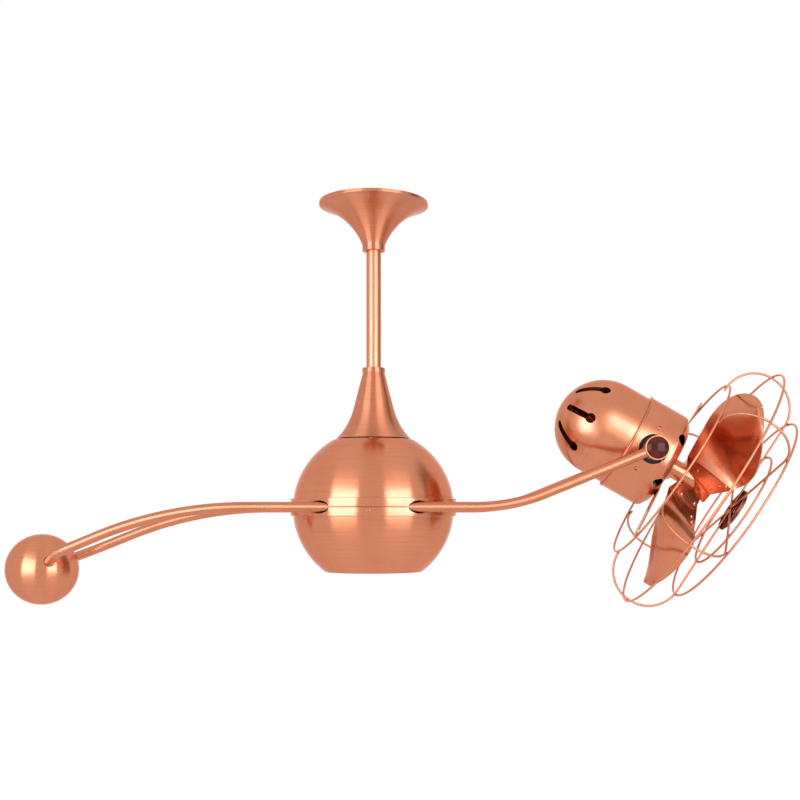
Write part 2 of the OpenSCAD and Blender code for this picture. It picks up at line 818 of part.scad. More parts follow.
motor_screw_a = 26.8;
motor_screw_s = -7;
module at_motor_screws() {
    for (s = [-1, 1]) for (a = [-motor_screw_a, motor_screw_a])
        rotate(s*90 + a + casing_phase) translate([casing_r, 0, motor_screw_s]) rotate([0, 90, 0]) children();
}
module motor_screw_ways() {
    at_motor_screws() translate([0, 0, -20]) cylinder(r = screw_r + run_gap, h = 30, $fn = 32);
}

module motor_ring() {
    color(iron) head() difference() {
        translate([0, 0, -16]) tube(casing_r - cover_wall - seat_gap, core_r + seat_gap/3, 14);
        for (s = [-1, 1]) translate([-50, s > 0 ? plate_y - plate_t - 6 : -100, -30])
            cube([100, 100 - plate_y + plate_t + 6, 60]);
        motor_screw_ways();
    }
}

module motor_screws() {
    color(copper) head() at_motor_screws() translate([0, 0, 0.4]) screw(screw_r, 3, 6.2);
}

module motor_stator() {
    color(winding) head() difference() {
        translate([0, 0, -core_back + 6]) tube(core_r, 36, core_back + core_front - 12);
        for (i = [0:11]) rotate(i*30) {
            translate([43, 0, -80]) cylinder(r = 3.6, h = 120, $fn = 32);
            translate([30, -0.8, -80]) cube([12, 1.6, 120]);
        }
    }
}

module end_bell() {
    // cast cover with the bush in its middle and vents round it
    difference() {
        union() {
            cylinder(r = core_r, h = 5);
            translate([0, 0, 5 - e]) cylinder(r = 15, h = 6);
        }
        translate([0, 0, -1]) cylinder(r = 10 + braze_gap, h = 20);
        for (i = [0:5]) rotate(i*60) translate([33, 0, -1]) cylinder(r = 8, h = 8, $fn = 40);
    }
}
module rear_bell() {
    color(iron) head() translate([0, 0, -core_back + 6 - weld_gap]) rotate([180, 0, 0]) end_bell();
}
module front_bell() { color(iron) head() translate([0, 0, core_front - 6 + weld_gap]) end_bell(); }

module bush() { tube(10, shaft_r + run_gap, 10); }
module rear_bush() { color(bronze) head() translate([0, 0, -core_back - 4]) bush(); }
module front_bush() { color(bronze) head() translate([0, 0, core_front - 6]) bush(); }

module motor_shaft() {
    color(steel) head() translate([0, 0, -shaft_back]) cylinder(r = shaft_r, h = shaft_back + barrel_end + 1);
}

module motor_rotor() {
    color(iron) head() difference() {
        translate([0, 0, -core_back + 10]) tube(35.4, shaft_r, core_back + core_front - 20);
        for (i = [0:11]) rotate(i*30) translate([24, 0, -80]) cylinder(r = 3, h = 120, $fn = 32);
    }
}

// ---- blades ------------------------------------------------------------------

blade_angles = [108, 228, 348];
blade_root_r = 14;
blade_n = 17;                               // rows along a blade
blade_m = 10;                               // steps across it
blade_camber = 7;
root_half = 26;                             // half the width of a blade at its root
root_drop = 17;                             // the root lies this far behind the hub's middle
crease_x = 41.5;                            // the root's flat ends at a slanting crease
crease_slope = 12;
crease_rows = 3;
crease_blend = 40;
flat_to = 0.2;
pad_t = 3;                                  // arms of the hub that the blades are riveted to
barrel_end = blade_s + 2.5;
rivet_r = 1.8;
rivet_at = [[25.6, -10], [23, 21]];         // along and across an arm
tack_at = [[40, 31], [46, 37.5]];           // rivet and screw through the sheet alone

function ease(t) = t <= 0 ? 0 : t >= 1 ? 1 : t*t*(3 - 2*t);
function blade_pitch(t) = t < 0.09 ? pitch_root : pitch_root + (pitch_tip - pitch_root)*(t - 0.09)/0.91;
function blade_bow(t) = blade_camber*ease((t - flat_to)/0.4);
function blade_half(t) = t < 0.6 ? root_half + (blade_chord/2 - root_half)*sin(150*t)
    : blade_chord/2*pow(max(0.004, 1 - pow((t - 0.6)/0.4, 2)), 0.55);
function sheet_point(r, w, lift, p) = [r, w*cos(p) + lift*sin(p), w*sin(p) - lift*cos(p)];
// flat root up to the crease, then a short run that turns into the twisted blade
function blade_point(t, v, side) =
    let (r = blade_root_r + (blade_tip_r - blade_root_r)*t, w = v*blade_half(t),
        u = (r - crease_x - crease_slope*v)/crease_blend,
        k = u <= 0 ? 0 : u >= 1 ? 1 : 1 - (1 - u)*(1 - u))
    sheet_point(r, w, root_drop - side*blade_t/2, pitch_root)*(1 - k)
        + sheet_point(r, w, blade_bow(t)*(1 - v*v) - side*blade_t/2, blade_pitch(t))*k;

module blade_sheet() {
    rows = blade_n + 1;
    cols = blade_m + 1;
    t_at = function (i, v) let (c = (crease_x + crease_slope*v - blade_root_r)/(blade_tip_r - blade_root_r))
        i <= crease_rows ? c*i/crease_rows
        : c + (1 - c)*(1 - pow(1 - (i - crease_rows)/(blade_n - crease_rows), 1.5));
    points = [for (side = [-1, 1]) for (i = [0:blade_n]) for (j = [0:blade_m])
        let (v = -1 + 2*j/blade_m) blade_point(t_at(i, v), v, side)];
    at = function (k, i, j) k*rows*cols + i*cols + j;
    skin = [for (i = [0:blade_n - 1]) for (j = [0:blade_m - 1]) each [
        [at(0, i, j), at(0, i, j + 1), at(0, i + 1, j + 1)],
        [at(0, i, j), at(0, i + 1, j + 1), at(0, i + 1, j)],
        [at(1, i, j), at(1, i + 1, j + 1), at(1, i, j + 1)],
        [at(1, i, j), at(1, i + 1, j), at(1, i + 1, j + 1)]]];
    long_edges = [for (i = [0:blade_n - 1]) each [
        [at(0, i, 0), at(0, i + 1, 0), at(1, i + 1, 0)],
        [at(0, i, 0), at(1, i + 1, 0), at(1, i, 0)],
        [at(0, i, blade_m), at(1, i + 1, blade_m), at(0, i + 1, blade_m)],
        [at(0, i, blade_m), at(1, i, blade_m), at(1, i + 1, blade_m)]]];
    ends = [for (j = [0:blade_m - 1]) each [
        [at(0, 0, j), at(1, 0, j), at(1, 0, j + 1)],
        [at(0, 0, j), at(1, 0, j + 1), at(0, 0, j + 1)],
        [at(0, blade_n, j), at(1, blade_n, j + 1), at(1, blade_n, j)],
        [at(0, blade_n, j), at(0, blade_n, j + 1), at(1, blade_n, j + 1)]]];
    polyhedron(points, [for (f = concat(skin, long_edges, ends)) [f[2], f[1], f[0]]]);
}

// frame of a blade's root: +X outwards, +Z square to the sheet and towards the front
module at_root() { translate([0, 0, blade_s]) rotate([pitch_root, 0, 0]) children(); }

module rivet_ways(places) {
    for (p = places) translate([p[0], p[1], -root_drop - 10])
        cylinder(r = rivet_r + run_gap, h = 20, $fn = 32);
}

module blade(i) {
    // twisted sheet with a flat root that lies along an arm of the hub
    color(copper) head() rotate(blade_angles[i]) difference() {
        translate([0, 0, blade_s]) blade_sheet();
        at_root() rivet_ways(concat(rivet_at, tack_at));
        cylinder(r = barrel_r + seat_gap, h = 200);
    }
}
module blade_1() { blade(0); }
module blade_2() { blade(1); }
module blade_3() { blade(2); }

module blade_hub() {
    // long barrel on the motor's shaft, with a cone on its end and an arm for each blade
    pad_z = -root_drop + blade_t/2 + braze_gap;
    color(copper) head() difference() {
        union() {
            translate([0, 0, casing_front + 1]) cylinder(r = barrel_r, h = barrel_end - casing_front - 1);
            translate([0, 0, barrel_end - e]) cylinder(r1 = barrel_r, r2 = 6, h = 10);
            for (a = blade_angles) rotate(a) at_root() {
                translate([-5, -18, pad_z]) cube([36, 45, pad_t]);
                translate([-5, -18, pad_z]) cube([14, 30, pad_t + 5]);
            }
        }
        translate([0, 0, -1]) cylinder(r = shaft_r + braze_gap, h = barrel_end + 3);
        for (a = blade_angles) rotate(a) at_root() rivet_ways(rivet_at);
    }
}

// domed rivet, its head on z = 0 and its set end at the far side of what it grips
module rivet(grip, head_r) {
    rotate_extrude() {
        translate([0, -grip - 1]) square([rivet_r, grip + 1.5]);
        translate([0, -grip - 1.2]) square([head_r - 0.3, 1.2]);
        intersection() {
            translate([0, -2.6]) circle(sqrt(head_r*head_r + 2.6*2.6), $fn = 40);
            square([head_r, 5]);
        }
    }
}

module blade_rivets() {
    top = -root_drop + blade_t/2 + braze_gap;
    color(copper) head() for (a = blade_angles) rotate(a) at_root() {
        for (p = rivet_at) translate([p[0], p[1], top + pad_t + braze_gap])
            rivet(blade_t + pad_t + 3*braze_gap, 3.6);
        for (i = [0:1]) translate([tack_at[i][0], tack_at[i][1], top])
            rivet(blade_t + 2*braze_gap, i > 0 ? 4.2 : 2.9);
    }
}

// ---- guard -------------------------------------------------------------------

// frame of the guard, which leans a little more than the casing
module guard() { head() rotate([0, guard_lean, 0]) children(); }

module guard_ring(r, s) { color(copper) guard() translate([0, 0, s]) ring_wire(r, wire_r); }
module guard_rear_ring() { guard_ring(rear_ring_r, rear_ring_s); }
module guard_mid_ring() { guard_ring(mid_ring_r, mid_ring_s); }
module guard_front_ring() { guard_ring(front_ring_r, front_ring_s); }
module guard_inner_ring() { guard_ring(inner_ring_r, front_ring_s); }

module guard_bows() {
    // each bow runs inside the rings, from the rear one round to the middle of the front
    color(copper) guard() for (i = [0:bows - 1]) rotate(bow_phase + i*360/bows) bent_rod([
        [bow_start_r, 0, bow_back_s],
        [bow_top_r, 0, bow_back_s],
        [bow_top_r, 0, bow_front_s],
        [bow_end_r, 0, bow_front_s]], [bow_bend_r, bow_bend_r], wire_r);
}

// where the leaning rear ring stands over a bar of the casing
function ring_over(a) = rear_ring_s*cos(guard_lean) - rear_ring_r*cos(a)*sin(guard_lean);

module guard_struts() {
    // flat bars from the casing's face out to the rear ring
    z0 = casing_front + weld_gap;
    color(copper) head() for (a = strut_ways) rotate(a) {
        z1 = ring_over(a) - wire_r - seat_gap - 0.2 - strut_t;
        side = [[strut_foot - 16, z0], [strut_foot, z0], [rear_ring_r - 1, z1], [rear_ring_r + 5, z1]];
        back = [for (i = [3:-1:0]) side[i] + [0, strut_t]];
        rotate([90, 0, 0]) translate([0, 0, -strut_w/2]) linear_extrude(strut_w) polygon(concat(side, back));
    }
}

module guard_badge() {
    // stepped disc with two raised rings
    color(black) guard() translate([0, 0, bow_front_s + wire_r + weld_gap]) difference() {
        union() {
            cylinder(r = badge_r, h = badge_t - 2.5);
            translate([0, 0, badge_t - 2.5 - e]) cylinder(r = badge_r - 4, h = 2.5);
        }
        for (r = [9, 17]) translate([0, 0, badge_t - 1.2]) tube(r + 5, r, 3);
    }
}

ceiling_bracket();
canopy();
canopy_set_screw();
hanger_ball();
hanger_pin();
downrod();
coupling_pin();
neck_cover();
neck_set_screw();
spindle();
turn_stator();
upper_bearing();
lower_bearing();
spindle_nut();
globe_upper();
globe_lower();
top_plate();
top_screws();
band_screws();
arm_hub();
turn_rotor();
tube_clamps();
clamp_screws();
front_tube();
rear_tube();
ball_shell();
ball_weight();
front_boss();
rear_boss();
front_cap();
rear_cap();
pivot_bolts();
pivot_washers();
pivot_nuts();
motor_dome();
motor_casing();
pivot_plates();
motor_ring();
motor_screws();
motor_stator();
rear_bell();
front_bell();
rear_bush();
front_bush();
motor_shaft();
motor_rotor();
blade_hub();
blade_1();
blade_2();
blade_3();
blade_rivets();
guard_rear_ring();
guard_mid_ring();
guard_front_ring();
guard_inner_ring();
guard_bows();
guard_struts();
guard_badge();
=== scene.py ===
import bpy
import bmesh
import json
import math
import numpy as np
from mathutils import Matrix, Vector


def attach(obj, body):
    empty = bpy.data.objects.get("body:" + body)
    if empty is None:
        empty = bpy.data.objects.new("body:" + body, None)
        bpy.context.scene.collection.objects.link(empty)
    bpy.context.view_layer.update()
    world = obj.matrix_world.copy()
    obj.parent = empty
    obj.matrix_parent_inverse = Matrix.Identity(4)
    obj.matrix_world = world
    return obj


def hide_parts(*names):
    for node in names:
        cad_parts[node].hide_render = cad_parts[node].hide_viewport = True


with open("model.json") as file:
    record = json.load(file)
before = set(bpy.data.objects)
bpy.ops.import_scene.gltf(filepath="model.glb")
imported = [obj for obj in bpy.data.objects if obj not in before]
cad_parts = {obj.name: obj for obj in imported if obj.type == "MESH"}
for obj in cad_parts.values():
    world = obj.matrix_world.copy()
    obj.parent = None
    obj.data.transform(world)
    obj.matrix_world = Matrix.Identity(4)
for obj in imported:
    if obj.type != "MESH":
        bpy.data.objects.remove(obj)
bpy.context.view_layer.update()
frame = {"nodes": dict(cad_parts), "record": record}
scene = bpy.context.scene
mm = 0.001

# camera: level, at the photograph's distance; focal length and middle are in the photograph's pixels
camera = {"focal": 1139.0, "imageSize": 800.0, "middleX": 446.0, "middleY": 517.0, "sensor": 36.0,
          "near": 0.05, "far": 40.0, "place": (0.1053, -1.6586, -0.4568)}


def addCamera(c):
    data = bpy.data.cameras.new("camera")
    data.sensor_width = c["sensor"]
    data.lens = c["focal"] / c["imageSize"] * c["sensor"]
    data.shift_x = (c["imageSize"] / 2 - c["middleX"]) / c["imageSize"]
    data.shift_y = (c["middleY"] - c["imageSize"] / 2) / c["imageSize"]
    data.clip_start = c["near"]
    data.clip_end = c["far"]
    eye = bpy.data.objects.new("camera", data)
    eye.location = c["place"]
    eye.rotation_euler = (math.pi / 2, 0.0, 0.0)  # looks along +Y
    scene.collection.objects.link(eye)
    scene.camera = eye


addCamera(camera)
print("camera ready")


def add(nt, kind, inputs=None, **settings):  # a shader node with its settings, inputs as values or sockets
    node = nt.nodes.new(kind)
    for name, value in settings.items():
        setattr(node, name, value)
    for key, value in (inputs or {}).items():
        if isinstance(value, bpy.types.NodeSocket):
            nt.links.new(value, node.inputs[key])
        else:
            node.inputs[key].default_value = value
    return node


def calc(nt, operation, a, b=0.0, clamp=False):
    return add(nt, "ShaderNodeMath", {0: a, 1: b}, operation=operation, use_clamp=clamp).outputs[0]


def span(nt, value, fromMin, fromMax, toMin=0.0, toMax=1.0):  # a value taken from one range to another
    return add(nt, "ShaderNodeMapRange", {"Value": value, "From Min": fromMin, "From Max": fromMax,
                                          "To Min": toMin, "To Max": toMax}).outputs[0]


# light: a white room with a dim panel at its right, a soft box at each side in front and one overhead
studio = {"skyLight": 0.50, "panelGloss": 0.30, "panelFrom": -0.06, "panelTo": 0.46, "panelSoft": 0.06,
          "panelMiddle": 0.10, "panelHalf": 0.56, "floorZ": -1.55, "floorHalf": 6.0,
          "floorColor": (0.80, 0.80, 0.80, 1.0), "floorWhite": 0.66, "floorGloss": 0.52,
          "lampColor": (0.80, 0.94, 1.15)}
softBoxes = [  # name, place, aimed at, width, height, watts, lights matte faces
    ("boxLeft", (-0.98, -1.25, -0.24), (0.0, 0.0, -0.42), 1.10, 1.10, 17.0, False),
    ("boxRight", (1.02, -1.25, -0.24), (0.1, 0.0, -0.42), 1.10, 1.10, 17.0, False),
    ("boxTop", (0.1, -0.4, 2.0), (0.0, 0.0, -0.3), 2.2, 2.2, 26.0, True)]


def rays(nt):  # the light path's outputs, and a mask of what is seen straight or through something
    path = add(nt, "ShaderNodeLightPath").outputs
    return path, calc(nt, "MAXIMUM", path["Is Camera Ray"], path["Is Transmission Ray"])


def addSky(s):
    # white where it is seen or looked through, white with the panel where it is mirrored, and a softer
    # light on matte faces; the panel lies between two slopes of Y over X, and a band of heights
    world = bpy.data.worlds.new("studioSky")
    scene.world = world
    world.use_nodes = True
    nt = world.node_tree
    nt.nodes.clear()
    path, seen = rays(nt)
    way = add(nt, "ShaderNodeSeparateXYZ", {0: add(nt, "ShaderNodeTexCoord").outputs["Generated"]}).outputs
    slope = calc(nt, "DIVIDE", way[1], calc(nt, "MAXIMUM", way[0], 0.02))  # X is kept from nought
    after = span(nt, slope, s["panelFrom"] - s["panelSoft"], s["panelFrom"] + s["panelSoft"])
    before = span(nt, slope, s["panelTo"] + s["panelSoft"], s["panelTo"] - s["panelSoft"])
    away = calc(nt, "ABSOLUTE", calc(nt, "ADD", way[2], -s["panelMiddle"]))
    level = span(nt, away, s["panelHalf"] + s["panelSoft"], s["panelHalf"] - s["panelSoft"])
    panel = calc(nt, "MULTIPLY", calc(nt, "MULTIPLY", after, before), level)
    gloss = span(nt, panel, 0.0, 1.0, 1.0, s["panelGloss"])
    rooms = [add(nt, "ShaderNodeBackground", {"Color": (1, 1, 1, 1), "Strength": v}).outputs[0]
             for v in (s["skyLight"], gloss, 1.0)]
    inner = add(nt, "ShaderNodeMixShader", {0: path["Is Glossy Ray"], 1: rooms[0], 2: rooms[1]}).outputs[0]
    outer = add(nt, "ShaderNodeMixShader", {0: seen, 1: inner, 2: rooms[2]}).outputs[0]
    add(nt, "ShaderNodeOutputWorld", {0: outer})


def addSoftBox(name, place, target, width, height, watts, matte):  # lights either matte faces or reflections
    data = bpy.data.lights.new(name, "AREA")
    data.shape = "RECTANGLE"
    data.size = width
    data.size_y = height
    data.energy = watts
    if not matte:
        data.color = studio["lampColor"]
    lamp = bpy.data.objects.new(name, data)
    lamp.location = place
    lamp.rotation_euler = (Vector(target) - Vector(place)).to_track_quat("-Z", "Y").to_euler()
    lamp.visible_camera = False
    lamp.visible_diffuse = matte
    lamp.visible_glossy = not matte
    scene.collection.objects.link(lamp)


def addFloor(s):  # seen or mirrored it is nearly white, and it keeps a soft shadow
    half, z = s["floorHalf"], s["floorZ"]
    corners = [(-half, -half, z), (half, -half, z), (half, half, z), (-half, half, z)]
    mesh = bpy.data.meshes.new("floor")
    mesh.from_pydata(corners, [], [(0, 1, 2, 3)])
    floor = bpy.data.objects.new("floor", mesh)
    scene.collection.objects.link(floor)
    mat = bpy.data.materials.new("paleFloor")
    mat.use_nodes = True
    nt = mat.node_tree
    nt.nodes.clear()
    path, seen = rays(nt)
    seen = calc(nt, "MAXIMUM", seen, path["Is Glossy Ray"])
    matte = add(nt, "ShaderNodeBsdfDiffuse", {"Color": s["floorColor"]}).outputs[0]
    glow = span(nt, path["Is Glossy Ray"], 0.0, 1.0, s["floorWhite"], s["floorGloss"])
    white = add(nt, "ShaderNodeEmission", {"Color": (1, 1, 1, 1), "Strength": glow}).outputs[0]
    both = add(nt, "ShaderNodeAddShader", {0: matte, 1: white}).outputs[0]
    shown = add(nt, "ShaderNodeMixShader", {0: seen, 1: matte, 2: both}).outputs[0]
    add(nt, "ShaderNodeOutputMaterial", {0: shown})
    mesh.materials.append(mat)


addSky(studio)
for box in softBoxes:
    addSoftBox(*box)
addFloor(studio)
scene.view_settings.view_transform = "Standard"
print("studio ready")

# shared surface effects, each a node group


def newGroup(name, inputs, outputs):
    group = bpy.data.node_groups.new(name, "ShaderNodeTree")
    for label, kind, value in inputs:
        socket = group.interface.new_socket(label, in_out="INPUT", socket_type="NodeSocket" + kind)
        if value is not None:
            socket.default_value = value
    for label, kind in outputs:
        group.interface.new_socket(label, in_out="OUTPUT", socket_type="NodeSocket" + kind)
    return group, add(group, "NodeGroupInput").outputs, add(group, "NodeGroupOutput").inputs


def brushLines():  # fine parallel scratches: noise stretched along U of a map in metres, and slow patches
    nt, given, result = newGroup("brushLines", [("Vector", "Vector", None), ("Fineness", "Float", 2600.0),
                                                ("Length", "Float", 18.0)],
                                 [("Lines", "Float"), ("Patches", "Float")])
    axes = add(nt, "ShaderNodeSeparateXYZ", {0: given["Vector"]}).outputs
    long = add(nt, "ShaderNodeCombineXYZ", {0: calc(nt, "MULTIPLY", axes[0], given["Length"]),
                                            1: calc(nt, "MULTIPLY", axes[1], given["Fineness"])}).outputs[0]
    lines = add(nt, "ShaderNodeTexNoise", {"Vector": long, "Scale": 1.0, "Detail": 4.0, "Roughness": 0.60})
    slow = add(nt, "ShaderNodeTexNoise", {"Vector": given["Vector"], "Scale": 22.0, "Detail": 2.0})
    nt.links.new(lines.outputs[0], result["Lines"])
    nt.links.new(slow.outputs[0], result["Patches"])
    return nt


def edgeRub():  # 1 on rubbed edges, 0 on flat faces: how far the rounded normal turns from the true one
    nt, given, result = newGroup("edgeRub", [("Radius", "Float", 0.0012), ("Strength", "Float", 6.0)],
                                 [("Mask", "Float")])
    soft = add(nt, "ShaderNodeBevel", {"Radius": given["Radius"]}, samples=4).outputs[0]
    true = add(nt, "ShaderNodeNewGeometry").outputs["Normal"]
    same = add(nt, "ShaderNodeVectorMath", {0: soft, 1: true}, operation="DOT_PRODUCT").outputs["Value"]
    turned = calc(nt, "SUBTRACT", 1.0, same)
    nt.links.new(calc(nt, "MULTIPLY", turned, given["Strength"], True), result["Mask"])
    return nt


def castGrain():  # speckle of a sand casting: fine relief and broad changes of tone
    nt, given, result = newGroup("castGrain", [("Vector", "Vector", None), ("Size", "Float", 600.0)],
                                 [("Height", "Float"), ("Tone", "Float")])
    fine = add(nt, "ShaderNodeTexNoise", {"Vector": given["Vector"], "Scale": given["Size"], "Detail": 4.0})
    broad = add(nt, "ShaderNodeTexNoise", {"Vector": given["Vector"], "Scale": 40.0, "Detail": 2.0})
    nt.links.new(fine.outputs[0], result["Height"])
    nt.links.new(broad.outputs[0], result["Tone"])
    return nt


groups = {"brush": brushLines(), "edge": edgeRub(), "cast": castGrain()}


def place(nt, key, **values):  # one of the groups, with this material's own values
    node = nt.nodes.new("ShaderNodeGroup")
    node.node_tree = groups[key]
    for label, value in values.items():
        if isinstance(value, bpy.types.NodeSocket):
            nt.links.new(value, node.inputs[label])
        else:
            node.inputs[label].default_value = value
    return node.outputs


def blendColor(nt, factor, a, b):
    a, b = (c if isinstance(c, bpy.types.NodeSocket) else (*c, 1.0) for c in (a, b))
    return add(nt, "ShaderNodeMix", {"Factor": factor, "A": a, "B": b}, data_type="RGBA").outputs["Result"]


def newMaterial(name, metallic, **sockets):
    mat = bpy.data.materials.new(name)
    mat.use_nodes = True
    bsdf = mat.node_tree.nodes["Principled BSDF"]
    bsdf.inputs["Metallic"].default_value = metallic
    for key, value in sockets.items():
        bsdf.inputs[key.replace("_", " ")].default_value = value
    return mat, mat.node_tree, bsdf


def feed(bsdf, **sockets):
    for key, value in sockets.items():
        bsdf.id_data.links.new(value, bsdf.inputs[key.replace("_", " ")])


def roughen(nt, bsdf, noise, s):  # roughness that follows a noise, a little under and over its mean
    under, over = s["roughSpread"]
    feed(bsdf, Roughness=span(nt, noise, 0.3, 0.7, s["roughness"] - under, s["roughness"] + over))


def emboss(nt, bsdf, height, s):
    relief = {"Strength": s["bump"], "Distance": s["bumpHeight"], "Height": height}
    feed(bsdf, Normal=add(nt, "ShaderNodeBump", relief).outputs[0])


def brushedMetal(name, s):
    # lacquered metal brushed along U of its own map, with darker scratches and slow stained patches;
    # its edges are rubbed bright
    mat, nt, bsdf = newMaterial(name, 1.0, Anisotropic=s["anisotropy"], Anisotropic_Rotation=s["turn"],
                                Specular_Tint=(*s["tint"], 1.0), Coat_Weight=s["coat"],
                                Coat_Roughness=s["coatRoughness"])
    if s["map"]:
        uv = add(nt, "ShaderNodeUVMap", uv_map=s["map"]).outputs[0]
        tangent = add(nt, "ShaderNodeTangent", direction_type="UV_MAP", uv_map=s["map"]).outputs[0]
        feed(bsdf, Tangent=tangent)
    else:
        uv = add(nt, "ShaderNodeTexCoord").outputs["Object"]
    brush = place(nt, "brush", Vector=uv, Fineness=s["fineness"], Length=s["length"])
    tone = blendColor(nt, span(nt, brush["Lines"], *s["scratches"]), s["deep"], s["color"])
    warm = blendColor(nt, span(nt, brush["Patches"], *s["patches"], 0.0, s["stainMost"]), tone, s["stain"])
    edge = place(nt, "edge", Radius=s["edgeSize"], Strength=s["edgeRub"])["Mask"]
    shown = blendColor(nt, edge, warm, s["rubbed"])
    if s["darkInside"]:  # painted shade: the inside of a shell is near-black and matte
        inner = add(nt, "ShaderNodeAttribute", attribute_name="inner").outputs["Fac"]
        shown = blendColor(nt, inner, shown, s["insideShadeColor"])
        feed(bsdf, Metallic=span(nt, inner, 0.0, 1.0, 1.0, 0.0),
             Coat_Weight=span(nt, inner, 0.0, 1.0, s["coat"], 0.0))
    feed(bsdf, Base_Color=shown)
    roughen(nt, bsdf, brush["Patches"], s)
    emboss(nt, bsdf, brush["Lines"], s)
    return mat


def castMetal(name, s):  # rough casting or enamel, speckled in tone and relief
    mat, nt, bsdf = newMaterial(name, s["metallic"])
    grain = place(nt, "cast", Vector=add(nt, "ShaderNodeTexCoord").outputs["Object"], Size=s["size"])
    tone = blendColor(nt, span(nt, grain["Tone"], 0.3, 0.7), s["deep"], s["color"])
    edge = place(nt, "edge", Radius=s["edgeSize"], Strength=s["edgeRub"])["Mask"]
    feed(bsdf, Base_Color=blendColor(nt, edge, tone, s["rubbed"]))
    roughen(nt, bsdf, grain["Height"], s)
    emboss(nt, bsdf, grain["Height"], s)
    return mat


def gemFinish(name, s):  # clouded red-brown glass under a clear polish
    mat, nt, bsdf = newMaterial(name, 0.0, Coat_Roughness=s["coatRoughness"], Specular_IOR_Level=s["mirror"])
    where = add(nt, "ShaderNodeTexCoord").outputs["Object"]
    noise = {"Vector": where, "Scale": s["cloudScale"], "Detail": 5.0}
    cloud = add(nt, "ShaderNodeTexNoise", noise).outputs[0]
    feed(bsdf, Base_Color=blendColor(nt, span(nt, cloud, 0.35, 0.65), s["deep"], s["color"]),
         Roughness=span(nt, cloud, 0.3, 0.7, *s["roughness"]),
         Coat_Weight=span(nt, cloud, 0.3, 0.7, *s["coat"]))
    emboss(nt, bsdf, cloud, s)
    return mat


copper = {"color": (0.655, 0.222, 0.106), "deep": (0.57, 0.178, 0.080), "stain": (0.52, 0.155, 0.066),
          "rubbed": (0.90, 0.52, 0.36), "tint": (0.80, 0.36, 0.22), "scratches": (0.25, 0.60),
          "patches": (0.35, 0.75), "stainMost": 0.35, "roughness": 0.24, "roughSpread": (0.04, 0.05),
          "anisotropy": 0.88, "turn": 0.25, "fineness": 700.0, "length": 7.0, "bump": 0.06,
          "bumpHeight": 0.00002, "edgeSize": 0.0006, "edgeRub": 3.0, "map": "brushMap", "coat": 0.65,
          "coatRoughness": 0.12, "darkInside": False, "insideShadeColor": (0.012, 0.009, 0.008)}
drawn = {**copper, "deep": (0.63, 0.210, 0.099), "stain": (0.60, 0.195, 0.090), "turn": 0.0, "fineness": 5.0,
         "length": 60.0, "bump": 0.003, "edgeRub": 0.0}  # pipe and wire, finished across their length
burnt = {**copper, "stain": (0.05, 0.018, 0.010), "tint": (0.4, 0.2, 0.12), "coat": 0.1}  # dark and dull
plain = {**copper, "map": "", "anisotropy": 0.0}  # has no map of its own
cast = {"roughSpread": (0.06, 0.08), "edgeSize": 0.0008, "edgeRub": 4.0, "bump": 0.35, "bumpHeight": 0.0001}


def metal(name, base, **changes):
    return brushedMetal(name, {**base, **changes})


finishes = {
    "turned": metal("turnedCopper", copper),
    "shell": metal("shellCopper", copper, darkInside=True, roughness=0.28, anisotropy=0.6),
    "spun": metal("spunCopper", copper, roughness=0.38, anisotropy=0.96),
    "rod": metal("rodCopper", drawn, roughness=0.34, anisotropy=0.0),
    "pipe": metal("pipeCopper", drawn, roughness=0.36, anisotropy=0.98),
    "wire": metal("wireCopper", drawn, roughness=0.34, anisotropy=0.9),
    # weld beads, and also the painted shade in the screws' crosses
    "weld": metal("weldCopperAndCrossShade", burnt, color=(0.22, 0.07, 0.035), deep=(0.10, 0.03, 0.016),
                  rubbed=(0.45, 0.18, 0.09), roughness=0.42, anisotropy=0.0),
    "sheet": metal("sheetCopper", copper, deep=(0.61, 0.200, 0.094), stain=(0.56, 0.180, 0.082),
                   roughness=0.26, anisotropy=0.5, fineness=450.0, length=5.0, bump=0.03),
    "fixing": metal("fixingCopper", plain, fineness=500.0, length=500.0),
    "badge": metal("badgeBronze", burnt, color=(0.15, 0.050, 0.028), deep=(0.08, 0.026, 0.016),
                   rubbed=(0.72, 0.30, 0.16), edgeSize=0.0012, edgeRub=7.0, roughness=0.34, anisotropy=0.3),
    "steel": metal("zincSteel", plain, color=(0.60, 0.61, 0.62), deep=(0.50, 0.51, 0.52),
                   stain=(0.42, 0.42, 0.42), rubbed=(0.75, 0.75, 0.76), tint=(0.8, 0.8, 0.8),
                   fineness=900.0, length=900.0, coat=0.0),
    "bronze": metal("bushBronze", plain, color=(0.60, 0.42, 0.20), deep=(0.48, 0.32, 0.14),
                    stain=(0.35, 0.22, 0.09), rubbed=(0.80, 0.62, 0.34), tint=(0.8, 0.6, 0.4), coat=0.0),
    "iron": castMetal("castIron", {**cast, "color": (0.045, 0.045, 0.048), "deep": (0.02, 0.02, 0.022),
                                   "rubbed": (0.16, 0.155, 0.15), "metallic": 0.3, "roughness": 0.60,
                                   "size": 700.0}),
    "winding": castMetal("windingEnamel", {**cast, "color": (0.36, 0.12, 0.035), "deep": (0.22, 0.06, 0.015),
                                           "rubbed": (0.55, 0.24, 0.10), "metallic": 0.4, "roughness": 0.32,
                                           "size": 1400.0}),
    "gem": gemFinish("redCabochon", {"color": (0.27, 0.034, 0.022), "deep": (0.12, 0.013, 0.009),
                                     "roughness": (0.10, 0.22), "coat": (0.22, 0.34), "coatRoughness": 0.03,
                                     "mirror": 0.08, "cloudScale": 90.0, "bump": 0.08, "bumpHeight": 0.0001})}
print("finishes ready")

# surfaces: grids of points in millimetres, worked out as whole arrays
headFrame = {"pivot": (394.6, 0.0, -362.0), "tilt": 29.8, "guardLean": 3.6}


def frameOf(tilt):  # local X down across the axis, Y level, Z along the fan's axis
    t = math.radians(tilt)
    return np.array(((-math.sin(t), 0, -math.cos(t)), (0, 1, 0), (math.cos(t), 0, -math.sin(t))))


